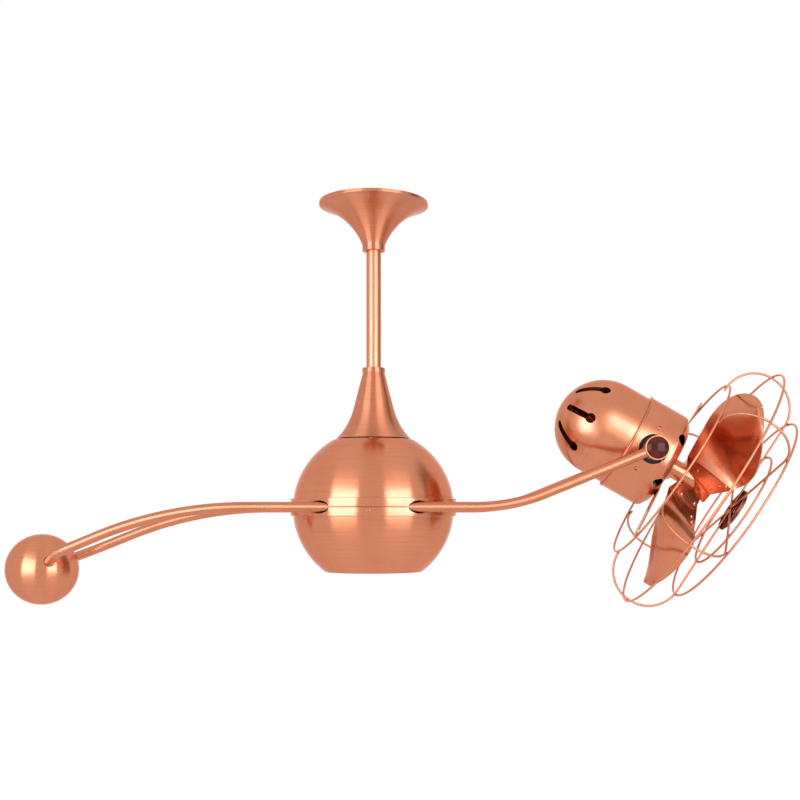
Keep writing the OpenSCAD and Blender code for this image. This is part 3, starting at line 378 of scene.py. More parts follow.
def inFrame(axes, origin):  # takes local points to the object's: origin + x, y and z along the three axes
    axes, origin = np.asarray(axes, float), np.asarray(origin, float)
    return lambda p: origin + np.asarray(p, float) @ axes


def within(outer, inner):  # a frame set in another one
    return lambda p: outer(inner(p))


def shifted(origin):
    return inFrame(np.eye(3), origin)


asIs = shifted((0, 0, 0))
inHead = inFrame(frameOf(headFrame["tilt"]), headFrame["pivot"])
inGuard = inFrame(frameOf(headFrame["tilt"] + headFrame["guardLean"]), headFrame["pivot"])


def alongPivot(side):  # local Z runs outwards along the tilt axis, side is -1 at the front and 1 at the rear
    return inFrame(((1, 0, 0), (0, 0, side), (0, side, 0)), headFrame["pivot"])


def spinAxes(radians):  # X outwards at an angle round Z, Y square to it
    c, s = math.cos(radians), math.sin(radians)
    return np.array(((c, s, 0), (-s, c, 0), (0, 0, 1)))


def turnedBy(degrees):
    return inFrame(spinAxes(math.radians(degrees)), (0, 0, 0))


def closeSkin(mesh, sharp, outward=True):
    # seams merged, collapsed faces removed, normals turned out, and edges past the sharp angle kept sharp
    seam, collapsed = 2e-6, 1e-7  # metres
    bm = bmesh.new()
    bm.from_mesh(mesh)
    if outward:
        bmesh.ops.remove_doubles(bm, verts=bm.verts, dist=seam)
        bmesh.ops.dissolve_degenerate(bm, edges=bm.edges, dist=collapsed)
        bmesh.ops.recalc_face_normals(bm, faces=bm.faces)
    for f in bm.faces:
        f.smooth = True
    for e in bm.edges:
        e.smooth = not (len(e.link_faces) == 2 and e.calc_face_angle(0.0) > math.radians(sharp))
    bm.to_mesh(mesh)
    bm.free()


def skin(name, grids, sharp):  # neighbouring rows and columns of each grid are joined by quads
    co, faces, uv, base = [], [], [], 0
    for points, brush in grids:
        rows, cols = points.shape[:2]
        k = np.arange(rows * cols).reshape(rows, cols) + base
        co.append(points.reshape(-1, 3))
        uv.append(brush.reshape(-1, 2))
        faces.append(np.stack([k[:-1, :-1], k[:-1, 1:], k[1:, 1:], k[1:, :-1]], -1).reshape(-1, 4))
        base += rows * cols
    co, faces, uv = np.concatenate(co) * mm, np.concatenate(faces), np.concatenate(uv)
    mesh = bpy.data.meshes.new(name)
    mesh.vertices.add(len(co))
    mesh.vertices.foreach_set("co", co.ravel().astype(np.float32))
    mesh.loops.add(faces.size)
    mesh.loops.foreach_set("vertex_index", faces.ravel().astype(np.int32))
    mesh.polygons.add(len(faces))
    mesh.polygons.foreach_set("loop_start", np.arange(0, faces.size, 4, dtype=np.int32))
    mesh.polygons.foreach_set("loop_total", np.full(len(faces), 4, np.int32))
    layer = mesh.uv_layers.new(name="brushMap")
    layer.uv.foreach_set("vector", uv[faces.ravel()].ravel().astype(np.float32))
    mesh.update()
    closeSkin(mesh, sharp)
    return mesh


def addPiece(name, grids, body, finish, stands=(), sharp=35.0):
    mesh = skin(name, grids, sharp)
    piece = bpy.data.objects.new(name, mesh)
    scene.collection.objects.link(piece)
    mesh.materials.append(finishes[finish])
    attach(piece, body)
    if stands:
        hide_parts(*stands)
    return piece


def arc(cx, cy, r, start, end, count):  # points of a circular arc, angles in degrees
    a = np.radians(np.linspace(start, end, count))
    return np.stack([cx + r * np.cos(a), cy + r * np.sin(a)], 1)


def softened(rows, steps=5):
    # closed outline whose rows are x, y and how far the corner is cut back: each corner is a parabola
    # between the two cuts, and a cut takes less than half of its side
    most = 0.45
    points = [np.array(row[:2], float) for row in rows]
    out = []
    for i, (p, row) in enumerate(zip(points, rows)):
        a, b = points[i - 1] - p, points[(i + 1) % len(points)] - p
        la, lb = np.linalg.norm(a), np.linalg.norm(b)
        if row[2] <= 0:
            out.append(p[None])
            continue
        r = min(row[2], la * most, lb * most)
        t = np.linspace(0, 1, steps)[:, None]
        out.append((1 - t) ** 2 * (p + a / la * r) + 2 * t * (1 - t) * p + t ** 2 * (p + b / lb * r))
    return np.concatenate(out)


def fine(outline, step):  # closed outline with extra points along its long runs
    pts = np.asarray(outline, float)
    gaps = np.linalg.norm(np.roll(pts, -1, 0) - pts, axis=1)
    return np.concatenate([p + (q - p) * (np.arange(n) / n)[:, None] for p, q, n in
                           zip(pts, np.roll(pts, -1, 0), np.maximum(1, np.ceil(gaps / step)).astype(int))])


def runOf(points):  # length along a line up to each of its points
    return np.concatenate([[0], np.cumsum(np.linalg.norm(np.diff(points, axis=0), axis=1))])[:, None]


def revolve(outline, where=asIs, turns=160):
    # closed outline of (radius, height) turned about local Z: x = r cos a, y = r sin a, z = h;
    # the map's U is the way round at the widest radius, its V the way along the outline, in metres
    outline = np.concatenate([outline, outline[:1]])
    a = np.linspace(0, 2 * np.pi, turns + 1)[None]
    r, h = outline[:, :1], outline[:, 1:2]
    brush = np.stack(np.broadcast_arrays(a * r.max() * mm, runOf(outline) * mm), -1)
    return where(np.stack([r * np.cos(a), r * np.sin(a), h + 0 * a], -1)), brush


def addTurned(name, outline, body, finish, node, step=6.0, where=asIs, turns=160):
    return addPiece(name, [revolve(fine(outline, step), where, turns)], body, finish, [node])


def pathOf(corners, bends, step):  # line through corners, with a round bend of given radius at each
    pts = [np.array(c, float) for c in corners]
    out, start = [], pts[0]
    for before, corner, after, bend in zip(pts, pts[1:], pts[2:], bends):
        u = (corner - before) / np.linalg.norm(corner - before)
        v = (after - corner) / np.linalg.norm(after - corner)
        turn = math.acos(float(np.clip(u @ v, -1, 1)))
        leg = bend * math.tan(turn / 2)
        s = corner - u * leg
        n = max(2, int(np.linalg.norm(s - start) / step))
        out.append(start + (s - start) * np.linspace(0, 1, n, endpoint=False)[:, None])
        side = (v - u * (u @ v)) / np.linalg.norm(v - u * (u @ v))
        a = np.linspace(0, turn, max(6, int(bend * turn / step) + 6), endpoint=False)[:, None]
        out.append(s + bend * (np.sin(a) * u + (1 - np.cos(a)) * side))
        start = corner + v * leg
    n = max(2, int(np.linalg.norm(pts[-1] - start) / step))
    out.append(start + (pts[-1] - start) * np.linspace(0, 1, n)[:, None])
    return np.concatenate(out)


def sweep(path, radius, sides, loop=False, up=(0.0, 1.0, 0.0), where=asIs):
    # round section carried along a path: point = path + r (cos a side + sin a over), side square to up;
    # ends are closed to a point, the map's U is the way along in metres and its V a centimetre a radian
    path = np.asarray(path, float)
    along = np.roll(path, -1, 0) - np.roll(path, 1, 0) if loop else np.gradient(path, axis=0)
    along /= np.linalg.norm(along, axis=1)[:, None]
    side = np.cross(along, np.array(up, float))
    side /= np.linalg.norm(side, axis=1)[:, None]
    over = np.cross(side, along)
    n = len(path)
    pick = np.r_[np.arange(n), 0] if loop else np.r_[0, np.arange(n), n - 1]
    path, side, over = path[pick], side[pick], over[pick]
    r = np.full((len(path), 1, 1), float(radius))
    if not loop:
        r[[0, -1]] = 0
    a = np.linspace(0, 2 * np.pi, sides + 1)[None, :, None]
    ring = r * (np.cos(a) * side[:, None] + np.sin(a) * over[:, None])
    brush = np.stack(np.broadcast_arrays(runOf(path) * mm, a[..., 0] * 10 * mm), -1)
    return where(path[:, None] + ring), brush


def rod(a, b, r, sides, where=asIs):  # straight round bar from a to b
    a, b = np.array(a, float), np.array(b, float)
    up = (0, 0, 1) if abs((b - a)[2]) < 0.9 * np.linalg.norm(b - a) else (1, 0, 0)  # never along the bar
    return sweep([a, b], r, sides, up=up, where=where)


def blob(centre, radii, where, rows=10, cols=16):
    # ellipsoid: centre + the three radii times (cos b cos a, cos b sin a, sin b)
    b = np.linspace(-np.pi / 2, np.pi / 2, rows + 1)[:, None]
    a = np.linspace(0, 2 * np.pi, cols + 1)[None]
    p = np.stack([np.cos(b) * np.cos(a), np.cos(b) * np.sin(a), np.sin(b) + 0 * a], -1) * np.array(radii)
    brush = np.stack(np.broadcast_arrays(a, b), -1) * 2 * mm
    return where(np.array(centre) + p), brush


def slab(outline, low, high, where, edge=0.35, steps=3):
    # flat plate over a closed outline of (x, y), its rims rounded by edge: rings of the outline shrunk
    # towards its middle
    outline = np.asarray(outline, float)
    outline = np.concatenate([outline, outline[:1]])
    mid = outline[:-1].mean(0)
    reach = np.abs(outline - mid).max()
    t = np.linspace(0, np.pi / 2, steps + 1)
    inset = np.r_[reach, edge * (1 - np.sin(t)), edge * (1 - np.sin(t[::-1])), reach]
    height = np.r_[low, low + edge * (1 - np.cos(t)), high - edge * (1 - np.cos(t[::-1])), high]
    flat = mid + (outline[None] - mid) * (1 - inset / reach)[:, None, None]
    points = np.concatenate([flat, np.broadcast_to(height[:, None, None], flat.shape[:2] + (1,))], -1)
    return where(points), flat * mm


def prism(outline, low, high, where):  # outline carried straight from low to high, its ends closed to a point
    outline = np.concatenate([outline, outline[:1]])
    mid = outline[:-1].mean(0)
    rows = [(0.0, low), (1.0, low), (1.0, high), (0.0, high)]
    points = np.stack([np.column_stack([mid + (outline - mid) * k, np.full(len(outline), h)])
                       for k, h in rows])
    return where(points), points[..., :2] * mm


def cutterOf(grid):
    ob = bpy.data.objects.new("cutter", skin("cutter", [grid], 30.0))
    scene.collection.objects.link(ob)
    return ob


def cutAway(piece, grids):  # takes the volume inside each closed grid out of a piece, for good
    cutters = [cutterOf(grid) for grid in grids]
    for cutter in cutters:
        mod = piece.modifiers.new("cut", "BOOLEAN")
        mod.operation = "DIFFERENCE"
        mod.solver = "EXACT"
        mod.object = cutter
    bpy.context.view_layer.update()
    result = bpy.data.meshes.new_from_object(piece.evaluated_get(bpy.context.evaluated_depsgraph_get()))
    piece.modifiers.clear()
    old = piece.data
    piece.data = result
    bpy.data.meshes.remove(old)
    result.name = piece.name
    for cutter in cutters:
        mesh = cutter.data
        bpy.data.objects.remove(cutter)
        bpy.data.meshes.remove(mesh)
    closeSkin(result, 35.0, False)


# canopy, downrod and neck cover: flares are arcs struck from outside the outline
hang = {"rodR": 10.65, "rodWall": 2.6, "rodTop": -14.0, "rodEnd": -292.0, "rodSoft": 0.4, "collarR": 16.35,
        "collarH": 7.0, "bore": 10.7, "soft": 0.7, "boreSoft": 0.3}
canopyShape = {"r": 79.0, "h": 70.0, "wall": 1.5, "arcR": 97.5, "arcX": 106.8, "arcZ": -97.65, "step": 0.2,
               "insideR": 15.0, "collarZ": -62.0, "boreZ": -61.0, "rimH": 3.6}
neckShape = {"z": -343.0, "h": 103.0, "wall": 1.5, "arcR": 97.8, "arcX": 123.98, "arcZ": 68.52,
             "coneZ": 44.8, "topR": 15.95, "insideR": 14.9, "lipZ": 1.0, "lipInZ": 0.6, "lipIn": 0.1,
             "boreH": 2.0}


def makeCanopy(c, g):
    def side(r, x):  # angle on the flare's circle where the radius from the axis is x
        return 180 - math.degrees(math.acos((c["arcX"] - x) / r))
    inR = c["arcR"] + c["wall"]
    outer = arc(c["arcX"], c["arcZ"], c["arcR"], side(c["arcR"], c["r"]),
                side(c["arcR"], g["collarR"] + c["step"]), 60)
    inner = arc(c["arcX"], c["arcZ"], inR, side(inR, c["insideR"]), side(inR, c["r"] - c["wall"]), 50)
    collar = softened([(g["collarR"], c["collarZ"], 0), (g["collarR"], -c["h"], g["soft"]),
                       (g["bore"], -c["h"], g["boreSoft"]), (g["bore"], c["boreZ"], 0)])
    rim = softened([(c["r"] - c["wall"], 0.0, 0.3), (c["r"], 0.0, 0.6), (c["r"], -c["rimH"], 0)])
    outline = np.concatenate([outer, collar, inner, rim])
    addTurned("canopyCover", outline, "fixed", "spun", "canopy")


def makeNeck(n, g):
    def lipX(r):  # radius from the axis of the flare's circle at its foot
        return n["arcX"] - math.sqrt(r * r - n["arcZ"] ** 2)

    def angle(r, z):  # angle on the flare's circle at height z
        return 180 + math.degrees(math.asin((n["arcZ"] - z) / r))
    inR, r = n["arcR"] + n["wall"], n["arcR"]
    outer = arc(n["arcX"], n["arcZ"], r, angle(r, n["lipZ"]), angle(r, n["coneZ"]), 50)
    inner = arc(n["arcX"], n["arcZ"], inR, angle(inR, n["coneZ"]), angle(inR, n["lipInZ"]), 50)
    lip = [(lipX(inR), 0.0), (lipX(r) - n["lipIn"], 0.0)]
    top = n["h"] - g["collarH"]
    collar = softened([(n["topR"], top, 0.2), (g["collarR"], top, 0.8), (g["collarR"], n["h"], g["soft"]),
                       (g["bore"], n["h"], g["boreSoft"]), (g["bore"], top - n["boreH"], 0),
                       (n["insideR"], top - n["boreH"], 0)])
    outline = np.concatenate([outer, collar, inner, lip]) + (0.0, n["z"])
    addTurned("neckBell", outline, "fixed", "spun", "neck_cover")


def makeRod(g):
    inR, soft = g["rodR"] - g["rodWall"], g["rodSoft"]
    outline = softened([(inR, g["rodTop"], soft), (g["rodR"], g["rodTop"], soft),
                        (g["rodR"], g["rodEnd"], soft), (inR, g["rodEnd"], soft)])
    addTurned("downPipe", outline, "fixed", "rod", "downrod", 8.0, turns=96)


makeCanopy(canopyShape, hang)
makeNeck(neckShape, hang)
makeRod(hang)
print("hanging parts ready")

# globe: two shells with a band between them, notched for the tubes
globe = {"z": -443.0, "r": 117.0, "wall": 1.5, "bandR": 120.0, "bandIn": 112.8, "bandHalf": 12.6,
         "seam": 0.2, "seamSoft": 0.7, "soft": 0.6, "groove": 0.8, "grooveSoft": 0.2, "topZ": 98.0,
         "drop": 3.0, "topHole": 40.0, "lowZ": -93.0, "wayR": 9.2, "wayReach": 300.0, "tubeY": 98.0}


def halfShell(g, drop, end, hole):
    # outside, band, inside and end of a shell over the band's middle, struck from drop below it
    def angle(r, z):
        return math.degrees(math.asin((z + drop) / r))
    r, inR, step = g["r"], g["r"] - g["wall"], g["groove"]
    outer = arc(0, -drop, r, angle(r, end), angle(r, g["bandHalf"]), 70)
    inner = arc(0, -drop, inR, math.degrees(math.acos(g["bandIn"] / inR)), angle(inR, end - g["wall"]), 50)
    besideX = outer[-1, 0]
    outer = outer[outer[:, 1] > g["bandHalf"] + step]  # stops short of the band, and leaves a groove
    band = softened([(outer[-1, 0] - step, outer[-1, 1], g["grooveSoft"]),
                     (besideX - step, g["bandHalf"], g["grooveSoft"]), (g["bandR"], g["bandHalf"], g["soft"]),
                     (g["bandR"], g["seam"], g["seamSoft"]), (g["bandIn"], g["seam"], 0)])
    return outer, band, inner, np.array([(hole, end - g["wall"]), (hole, end)])


def makeGlobe(g):
    outer, band, inner, top = halfShell(g, g["drop"], g["topZ"], g["topHole"])
    upper = np.concatenate([outer, band, inner, top])
    outer, band, inner, floor = halfShell(g, 0.0, -g["lowZ"], 0.0)
    lower = np.concatenate([half[::-1] * (1, -1) for half in (outer, floor, inner, band)])
    ways = [rod((-g["wayReach"], y, g["z"]), (g["wayReach"], y, g["z"]), g["wayR"], 64)
            for y in (-g["tubeY"], g["tubeY"])]
    for name, node, outline in (("globeTop", "globe_upper", upper), ("globeBowl", "globe_lower", lower)):
        shell = addTurned(name, outline + (0.0, g["z"]), "turning", "turned", node, turns=200)
        cutAway(shell, ways)


makeGlobe(globe)
print("globe ready")

# twin tubes, ball and the yoke's round ends
arms = {"tubeR": 7.0, "headY": 95.0, "slope": 22.2, "bends": (256.0, 545.0, 30.0), "endIn": 15.12,
        "ballX": 482.7, "ballZ": -533.0, "ballR": 51.45, "turnInX": 430.7, "turnInY": 88.0,
        "turnInDrop": 63.0, "intoBall": 10.0, "ballGap": 0.7, "holeTo": 0.16}
ends = (("front", -1), ("rear", 1))  # name and side along Y


def makeArms(a, g):
    slope = math.radians(a["slope"])
    pivotX, pivotZ = headFrame["pivot"][0], headFrame["pivot"][2]
    ball = np.array((-a["ballX"], 0.0, a["ballZ"]))
    mouths = []
    for end, side in ends:
        turnIn = np.array((-a["turnInX"], side * a["turnInY"], g["z"] - a["turnInDrop"]))
        toBall = (ball - turnIn) / np.linalg.norm(ball - turnIn)
        corners = [(pivotX - a["endIn"] * math.cos(slope), side * a["headY"],
                    pivotZ - a["endIn"] * math.sin(slope)),
                   (pivotX - (pivotZ - g["z"]) / math.tan(slope), side * g["tubeY"], g["z"]),
                   (-a["turnInX"] + a["turnInDrop"] / math.tan(slope), side * g["tubeY"], g["z"]),
                   turnIn, ball - toBall * (a["ballR"] - a["intoBall"])]
        tube = sweep(pathOf(corners, a["bends"], 3.0), a["tubeR"], 40, up=(0, 1, 0.01))
        addPiece(f"{end}Arm", [tube], "turning", "pipe", [f"{end}_tube"])
        mouths.append(rod(turnIn, ball + (turnIn - ball) * a["holeTo"], a["tubeR"] + a["ballGap"], 48))
    grid = revolve(arc(0, 0, a["ballR"], 90, -90, 121), shifted(ball), 200)
    cutAway(addPiece("counterBall", [grid], "turning", "turned", ["ball_shell"]), mouths)


boss = {"face": 103.5, "long": 17.0, "r": 16.8, "neckR": 11.0, "neckFrom": 61.0, "bore": 5.05, "cupR": 15.4,
        "cupDeep": 6.0, "capR": 15.3, "capRise": 5.0, "capEdge": 1.6}


def makeBosses(b):
    foot, face, cup = b["face"] - b["long"], b["face"], b["face"] - b["cupDeep"]
    turned = softened([(b["bore"], b["neckFrom"], 0), (b["neckR"], b["neckFrom"], 0.5),
                       (b["neckR"], foot, 0.8), (b["r"], foot, 1.4), (b["r"], face, 1.2),
                       (b["cupR"], face, 0.35), (b["cupR"], cup, 0.3), (b["bore"], cup, 0)])
    domeR = (b["capR"] ** 2 + b["capRise"] ** 2) / (2 * b["capRise"])
    half = math.degrees(math.asin(b["capR"] / domeR))
    dome = arc(0, face + b["capRise"] - domeR, domeR, 90, 90 - half, 40)
    polished = np.concatenate([dome, [(b["capR"], face - b["capEdge"]), (0, face - b["capEdge"])]])
    for end, side in ends:
        where = alongPivot(side)
        addTurned(f"{end}Boss", turned, "turning", "turned", f"{end}_boss", 3.0, where, 120)
        addPiece(f"{end}Cap", [revolve(polished, where, 120)], "turning", "gem", [f"{end}_cap"])


makeArms(arms, globe)
makeBosses(boss)
print("arms ready")

# motor: slotted dome and front casing, along the fan's axis from the tilt axis
motor = {"casingR": 72.8, "wall": 1.5, "back": -32.8, "front": 38.0, "cone": 9.5, "frontR": 60.0,
         "holeR": 20.0, "beadR": 1.5, "beadIn": 0.4, "beadAt": 1.8, "beadTo": 3.4, "lap": 7.0, "lapGap": 1.0,
         "fit": 0.1, "domeR": 69.6, "domeAt": -70.7, "pivotR": 21.0, "pivotFrom": 40.0, "pivotTo": 90.0}
slot = {"count": 8, "phase": 4.6, "at": 50.0, "half": 20.8, "r": 4.6, "endR": 7.2}
vent = {"count": 6, "phase": 2.0, "r": 8.2, "lean": 36.0, "inwards": 5.2, "back": 8.5, "before": 9.0,
        "beyond": 15.0}


def teardrop(s):  # outline of a dome slot: a narrow round end, straight sides, a larger round end
    lean = math.degrees(math.asin(s["r"] / s["endR"]))
    return np.concatenate([arc(s["half"], 0, s["r"], -90, 90, 20),
                           arc(-s["half"], 0, s["endR"], lean, 360 - lean, 44)])


# where the painted shade inside the motor shells falls
insideShadeMask = {"frontLift": 0.8, "facing": -0.45}


def darkInside(piece, m, k):
    # attribute "inner": 1 where the skin faces inwards, as seen from the dome's centre, or from the axis
    # in front of that; past the tilt axis outwards also leans forwards, for the casing's front
    mesh = piece.data
    count = len(mesh.vertices)
    co, normal = np.empty(count * 3, np.float32), np.empty(count * 3, np.float32)
    mesh.vertices.foreach_get("co", co)
    mesh.vertices.foreach_get("normal", normal)
    turn = frameOf(headFrame["tilt"]).T
    local = (co.reshape(-1, 3) / mm - np.array(headFrame["pivot"])) @ turn
    normal = normal.reshape(-1, 3) @ turn
    outward = local - np.array((0, 0, m["domeAt"]))
    outward[local[:, 2] > m["domeAt"], 2] = 0
    outward /= np.maximum(np.linalg.norm(outward, axis=1, keepdims=True), 1e-6)
    outward[local[:, 2] > 0, 2] += k["frontLift"]
    # the faces marked here are painted near-black as painted shade
    inner = (np.sum(outward * normal, axis=1) < k["facing"]).astype(np.float32)
    mesh.attributes.new("inner", "FLOAT", "POINT").data.foreach_set("value", inner)


def makeDome(m, s):
    r, c, inR = m["domeR"], m["domeAt"], m["domeR"] - m["wall"]
    end = m["back"] + m["lap"]
    outline = np.concatenate([arc(0, c, r, -90, 0, 80), softened([(r, end, 0.2), (inR, end, 0.2)]),
                              arc(0, c, inR, 0, -90, 70)])
    dome = addTurned("motorShell", outline, "head", "shell", "motor_dome", 5.0, inHead, 200)
    t = math.radians(180 - s["at"])  # how far the slot's middle lies from the dome's top
    tilted = np.array(((math.cos(t), 0, -math.sin(t)), (0, 1, 0), (math.sin(t), 0, math.cos(t))))
    cutters = []  # each from a third of the radius to well past the shell
    for i in range(s["count"]):
        axes = tilted @ spinAxes(math.radians(s["phase"] + i * 360 / s["count"]))
        cutters.append(prism(teardrop(s), r / 3, r * 1.3, within(inHead, inFrame(axes, (0, 0, c)))))
    cutAway(dome, cutters)
    darkInside(dome, m, insideShadeMask)


def makeCasing(m, v):
    r, w, f, back = m["casingR"], m["wall"], m["front"], m["back"]
    edge, step, fitR = f - m["cone"], back + m["lap"] + m["lapGap"], m["domeR"] + m["fit"]
    bead = arc(r - m["beadIn"], back + m["beadAt"], m["beadR"], -95, 75, 12)
    outline = softened([(r, back + m["beadTo"], 0), (r, edge, 4.0), (m["frontR"], f, 3.0),
                        (m["holeR"], f, 0.5), (m["holeR"], f - w, 0.3), (m["frontR"] - w / 2, f - w, 2.5),
                        (r - w, edge - w / 3, 3.5), (r - w, step, 0.2), (fitR, step, 0.2), (fitR, back, 0.2)])
    outline = np.concatenate([outline, bead])
    casing = addTurned("motorCasing", outline, "head", "shell", "motor_casing", 4.0, inHead, 200)
    cutters = [rod((0, side * m["pivotFrom"], 0), (0, side * m["pivotTo"], 0), m["pivotR"], 96, inHead)
               for _, side in ends]
    lean = math.radians(v["lean"])
    for i in range(v["count"]):
        out, _, ahead = spinAxes(math.radians(v["phase"] + i * 360 / v["count"]))
        way = math.cos(lean) * out + math.sin(lean) * ahead
        start = out * (r - v["inwards"]) + ahead * (f - v["back"])
        cutters.append(rod(start - v["before"] * way, start + v["beyond"] * way, v["r"], 48, inHead))
    cutAway(casing, cutters)
    darkInside(casing, m, insideShadeMask)


makeDome(motor, slot)
makeCasing(motor, vent)
print("motor shells ready")

# blades, hub and rivets
blade = {"angles": (108.0, 228.0, 348.0), "s": 93.5, "rootR": 14.0, "tipR": 169.0, "chord": 125.0,
         "rootHalf": 26.0, "widest": 0.6, "tipCurve": 0.55, "pitchRoot": 57.0, "pitchTip": 23.0,
         "twistFrom": 0.09, "camber": 7.0, "camberFrom": 0.2, "camberRun": 0.4, "drop": 17.0,
         "crease": 41.5, "slant": 12.0, "blend": 40.0, "thick": 1.6, "edgeShare": 0.25, "edgeRows": 2.0,
         "rootRows": 18, "rows": 150, "columns": 90}


def atRoot(angle):  # the flat root's own frame: X outwards, Y across, Z square to it and towards the front
    out, around, ahead = spinAxes(math.radians(angle))
    c, s = math.cos(math.radians(blade["pitchRoot"])), math.sin(math.radians(blade["pitchRoot"]))
    return within(inHead, inFrame((out, around * c + ahead * s, ahead * c - around * s), (0, 0, blade["s"])))


def bladeMiddle(t, v, b):
    # middle of the sheet in (radius, across, along the axis): flat root up to a slanting crease, then a
    # twisted blade whose pitch falls in proportion to the radius, with a camber of one parabola across the
    # chord; the chord grows as a sine up to its widest place and closes as a power of a parabola at the tip
    def ease(x):
        x = np.clip(x, 0, 1)
        return x ** 2 * (3 - 2 * x)

    def sheet(rise, degrees):
        p = np.radians(degrees)
        return np.stack(np.broadcast_arrays(r, w * np.cos(p) + rise * np.sin(p),
                                            w * np.sin(p) - rise * np.cos(p)), -1)
    r = b["rootR"] + (b["tipR"] - b["rootR"]) * t
    full, widest = b["chord"] / 2, b["widest"]
    growing = b["rootHalf"] + (full - b["rootHalf"]) * np.sin(np.radians(90 * t / widest))
    closing = np.maximum(2e-5, 1 - ((t - widest) / (1 - widest)) ** 2)  # never quite nought
    w = v * np.where(t < widest, growing, full * closing ** b["tipCurve"])
    twist = np.maximum(0, t - b["twistFrom"]) / (1 - b["twistFrom"])
    pitch = b["pitchRoot"] + (b["pitchTip"] - b["pitchRoot"]) * twist
    lift = b["camber"] * ease((t - b["camberFrom"]) / b["camberRun"]) * (1 - v * v)
    u = np.clip((r - b["crease"] - b["slant"] * v) / b["blend"], 0, 1)
    k = (1 - (1 - u) ** 2)[..., None]
    return sheet(np.full_like(w, b["drop"]), b["pitchRoot"]) * (1 - k) + sheet(lift, pitch) * k


def border(g):  # the four edges of a grid as one closed line
    return np.concatenate([g[0], g[1:, -1], g[-1, -2::-1], g[-2:0:-1, 0], g[:1, 0]])


def fromEdge(n, rows):  # 0 at both ends of n + 1 lines, 1 from the given number of lines inwards
    return np.minimum(1, np.minimum(np.arange(n + 1), np.arange(n, -1, -1)) / rows)


def makeBlade(number, angle, b):
    n, m = b["rows"], b["columns"]
    v = np.sin(np.linspace(-np.pi / 2, np.pi / 2, m + 1))[None]  # columns close up towards the edges
    v = 0.5 * v + 0.5 * np.linspace(-1, 1, m + 1)[None]
    first = (b["crease"] + b["slant"] * v - b["rootR"]) / (b["tipR"] - b["rootR"])  # where the crease is
    outer = 1 - (1 - np.linspace(0, 1, n - b["rootRows"] + 1)[:, None]) ** 2  # rows close up towards the tip
    t = np.concatenate([first * np.linspace(0, 1, b["rootRows"], endpoint=False)[:, None],
                        first + (1 - first) * outer])
    v = np.broadcast_to(v, t.shape)
    mid = bladeMiddle(t, v, b)
    normal = np.cross(np.gradient(mid, axis=0), np.gradient(mid, axis=1))
    normal /= np.maximum(np.linalg.norm(normal, axis=-1, keepdims=True), 1e-9)
    inwards = np.minimum(fromEdge(m, b["edgeRows"])[None, :, None], fromEdge(n, b["edgeRows"])[:, None, None])
    share = b["edgeShare"] + (1 - b["edgeShare"]) * np.sqrt(1 - (1 - inwards) ** 2)  # rounded edge
    where = within(inHead, inFrame(spinAxes(math.radians(angle)), (0, 0, b["s"])))
    top, low = (where(mid + s * normal * b["thick"] / 2 * share) for s in (1, -1))
    brush = np.stack([mid[..., 0] * mm, v * b["chord"] / 2 * mm], -1)
    rim = (np.stack([border(top), border(low)]), np.stack([border(brush), border(brush)]))
    addPiece(f"fanBlade{number}", [(top, brush), (low, brush), rim], "rotor", "sheet",
             [f"blade_{number}"], sharp=28.0)


hub = {"bore": 5.05, "back": 39.0, "past": 2.5, "noseR": 6.0, "nose": 10.0, "padThick": 3.0, "footThick": 8.0,
       "pad": ((-5, -18, 2), (31, -18, 4), (31, 27, 4), (-5, 27, 2)), "gap": 0.02,
       "foot": ((-5, -18, 1.5), (9, -18, 1.5), (9, 12, 1.5), (-5, 12, 1.5))}


def makeHub(b, k):
    r, end, tip = b["rootR"], b["s"] + k["past"], b["s"] + k["past"] + k["nose"]
    outline = softened([(k["bore"], k["back"], 0), (r, k["back"], 0.6), (r, end, 0.8), (k["noseR"], tip, 0.9),
                        (k["bore"], tip, 0.2)])
    grids = [revolve(fine(outline, 6.0), inHead, 96)]
    low = -b["drop"] + b["thick"] / 2 + k["gap"]
    for angle in b["angles"]:
        where = atRoot(angle)
        grids += [slab(fine(softened(k["pad"], 7), 4.0), low, low + k["padThick"], where),
                  slab(fine(softened(k["foot"]), 4.0), low, low + k["footThick"], where)]
    addPiece("hubBarrel", grids, "rotor", "turned", ["blade_hub"])


crossHead = {"rings": 34, "turns": 97, "crown": 2.6, "reach": 0.62, "half": 0.17, "slope": 0.05, "deep": 0.75,
             "skirt": 0.4}


def screwHead(r, rise, lean, where, k=crossHead):
    # low dome with a cross let into it: h = rise (sqrt(1 - q^crown) - deep arm), where q is the share of the
    # radius, and arm is 1 inside the two bars of the cross and falls off at their sides
    q = np.linspace(0, 1, k["rings"])[:, None]
    a = np.linspace(0, 2 * np.pi, k["turns"])[None]
    x, y = q * np.cos(a), q * np.sin(a)
    arm = np.clip((k["half"] - np.minimum(np.abs(x), np.abs(y))) / k["slope"], 0, 1)
    arm = arm * (np.hypot(x, y) < k["reach"])
    h = rise * np.sqrt(np.maximum(0, 1 - q ** k["crown"])) - rise * k["deep"] * arm
    points = np.stack([x * r, y * r, h], -1) @ spinAxes(lean)
    foot = points[-1] * (1, 1, 0) - (0, 0, k["skirt"])
    skirt = np.stack([points[-1], foot, foot * (0, 0, 1)])
    return [(where(points), points[..., :2] * mm), (where(skirt), skirt[..., :2] * mm)]


# x, y, radius and kind of each fixing in the root's own frame
rivets = {"places": ((25.6, -10.0, 3.6, "arm"), (23.0, 21.0, 3.6, "arm"), (40.0, 31.0, 2.9, "sheet"),
                     (46.0, 37.5, 4.2, "screw")),
          "sink": 2.6, "seat": 0.3, "screwRise": 2.0, "screwLean": 0.5, "backRise": 1.2, "backIn": 0.4,
          "seatIn": 0.2, "middle": 0.01}


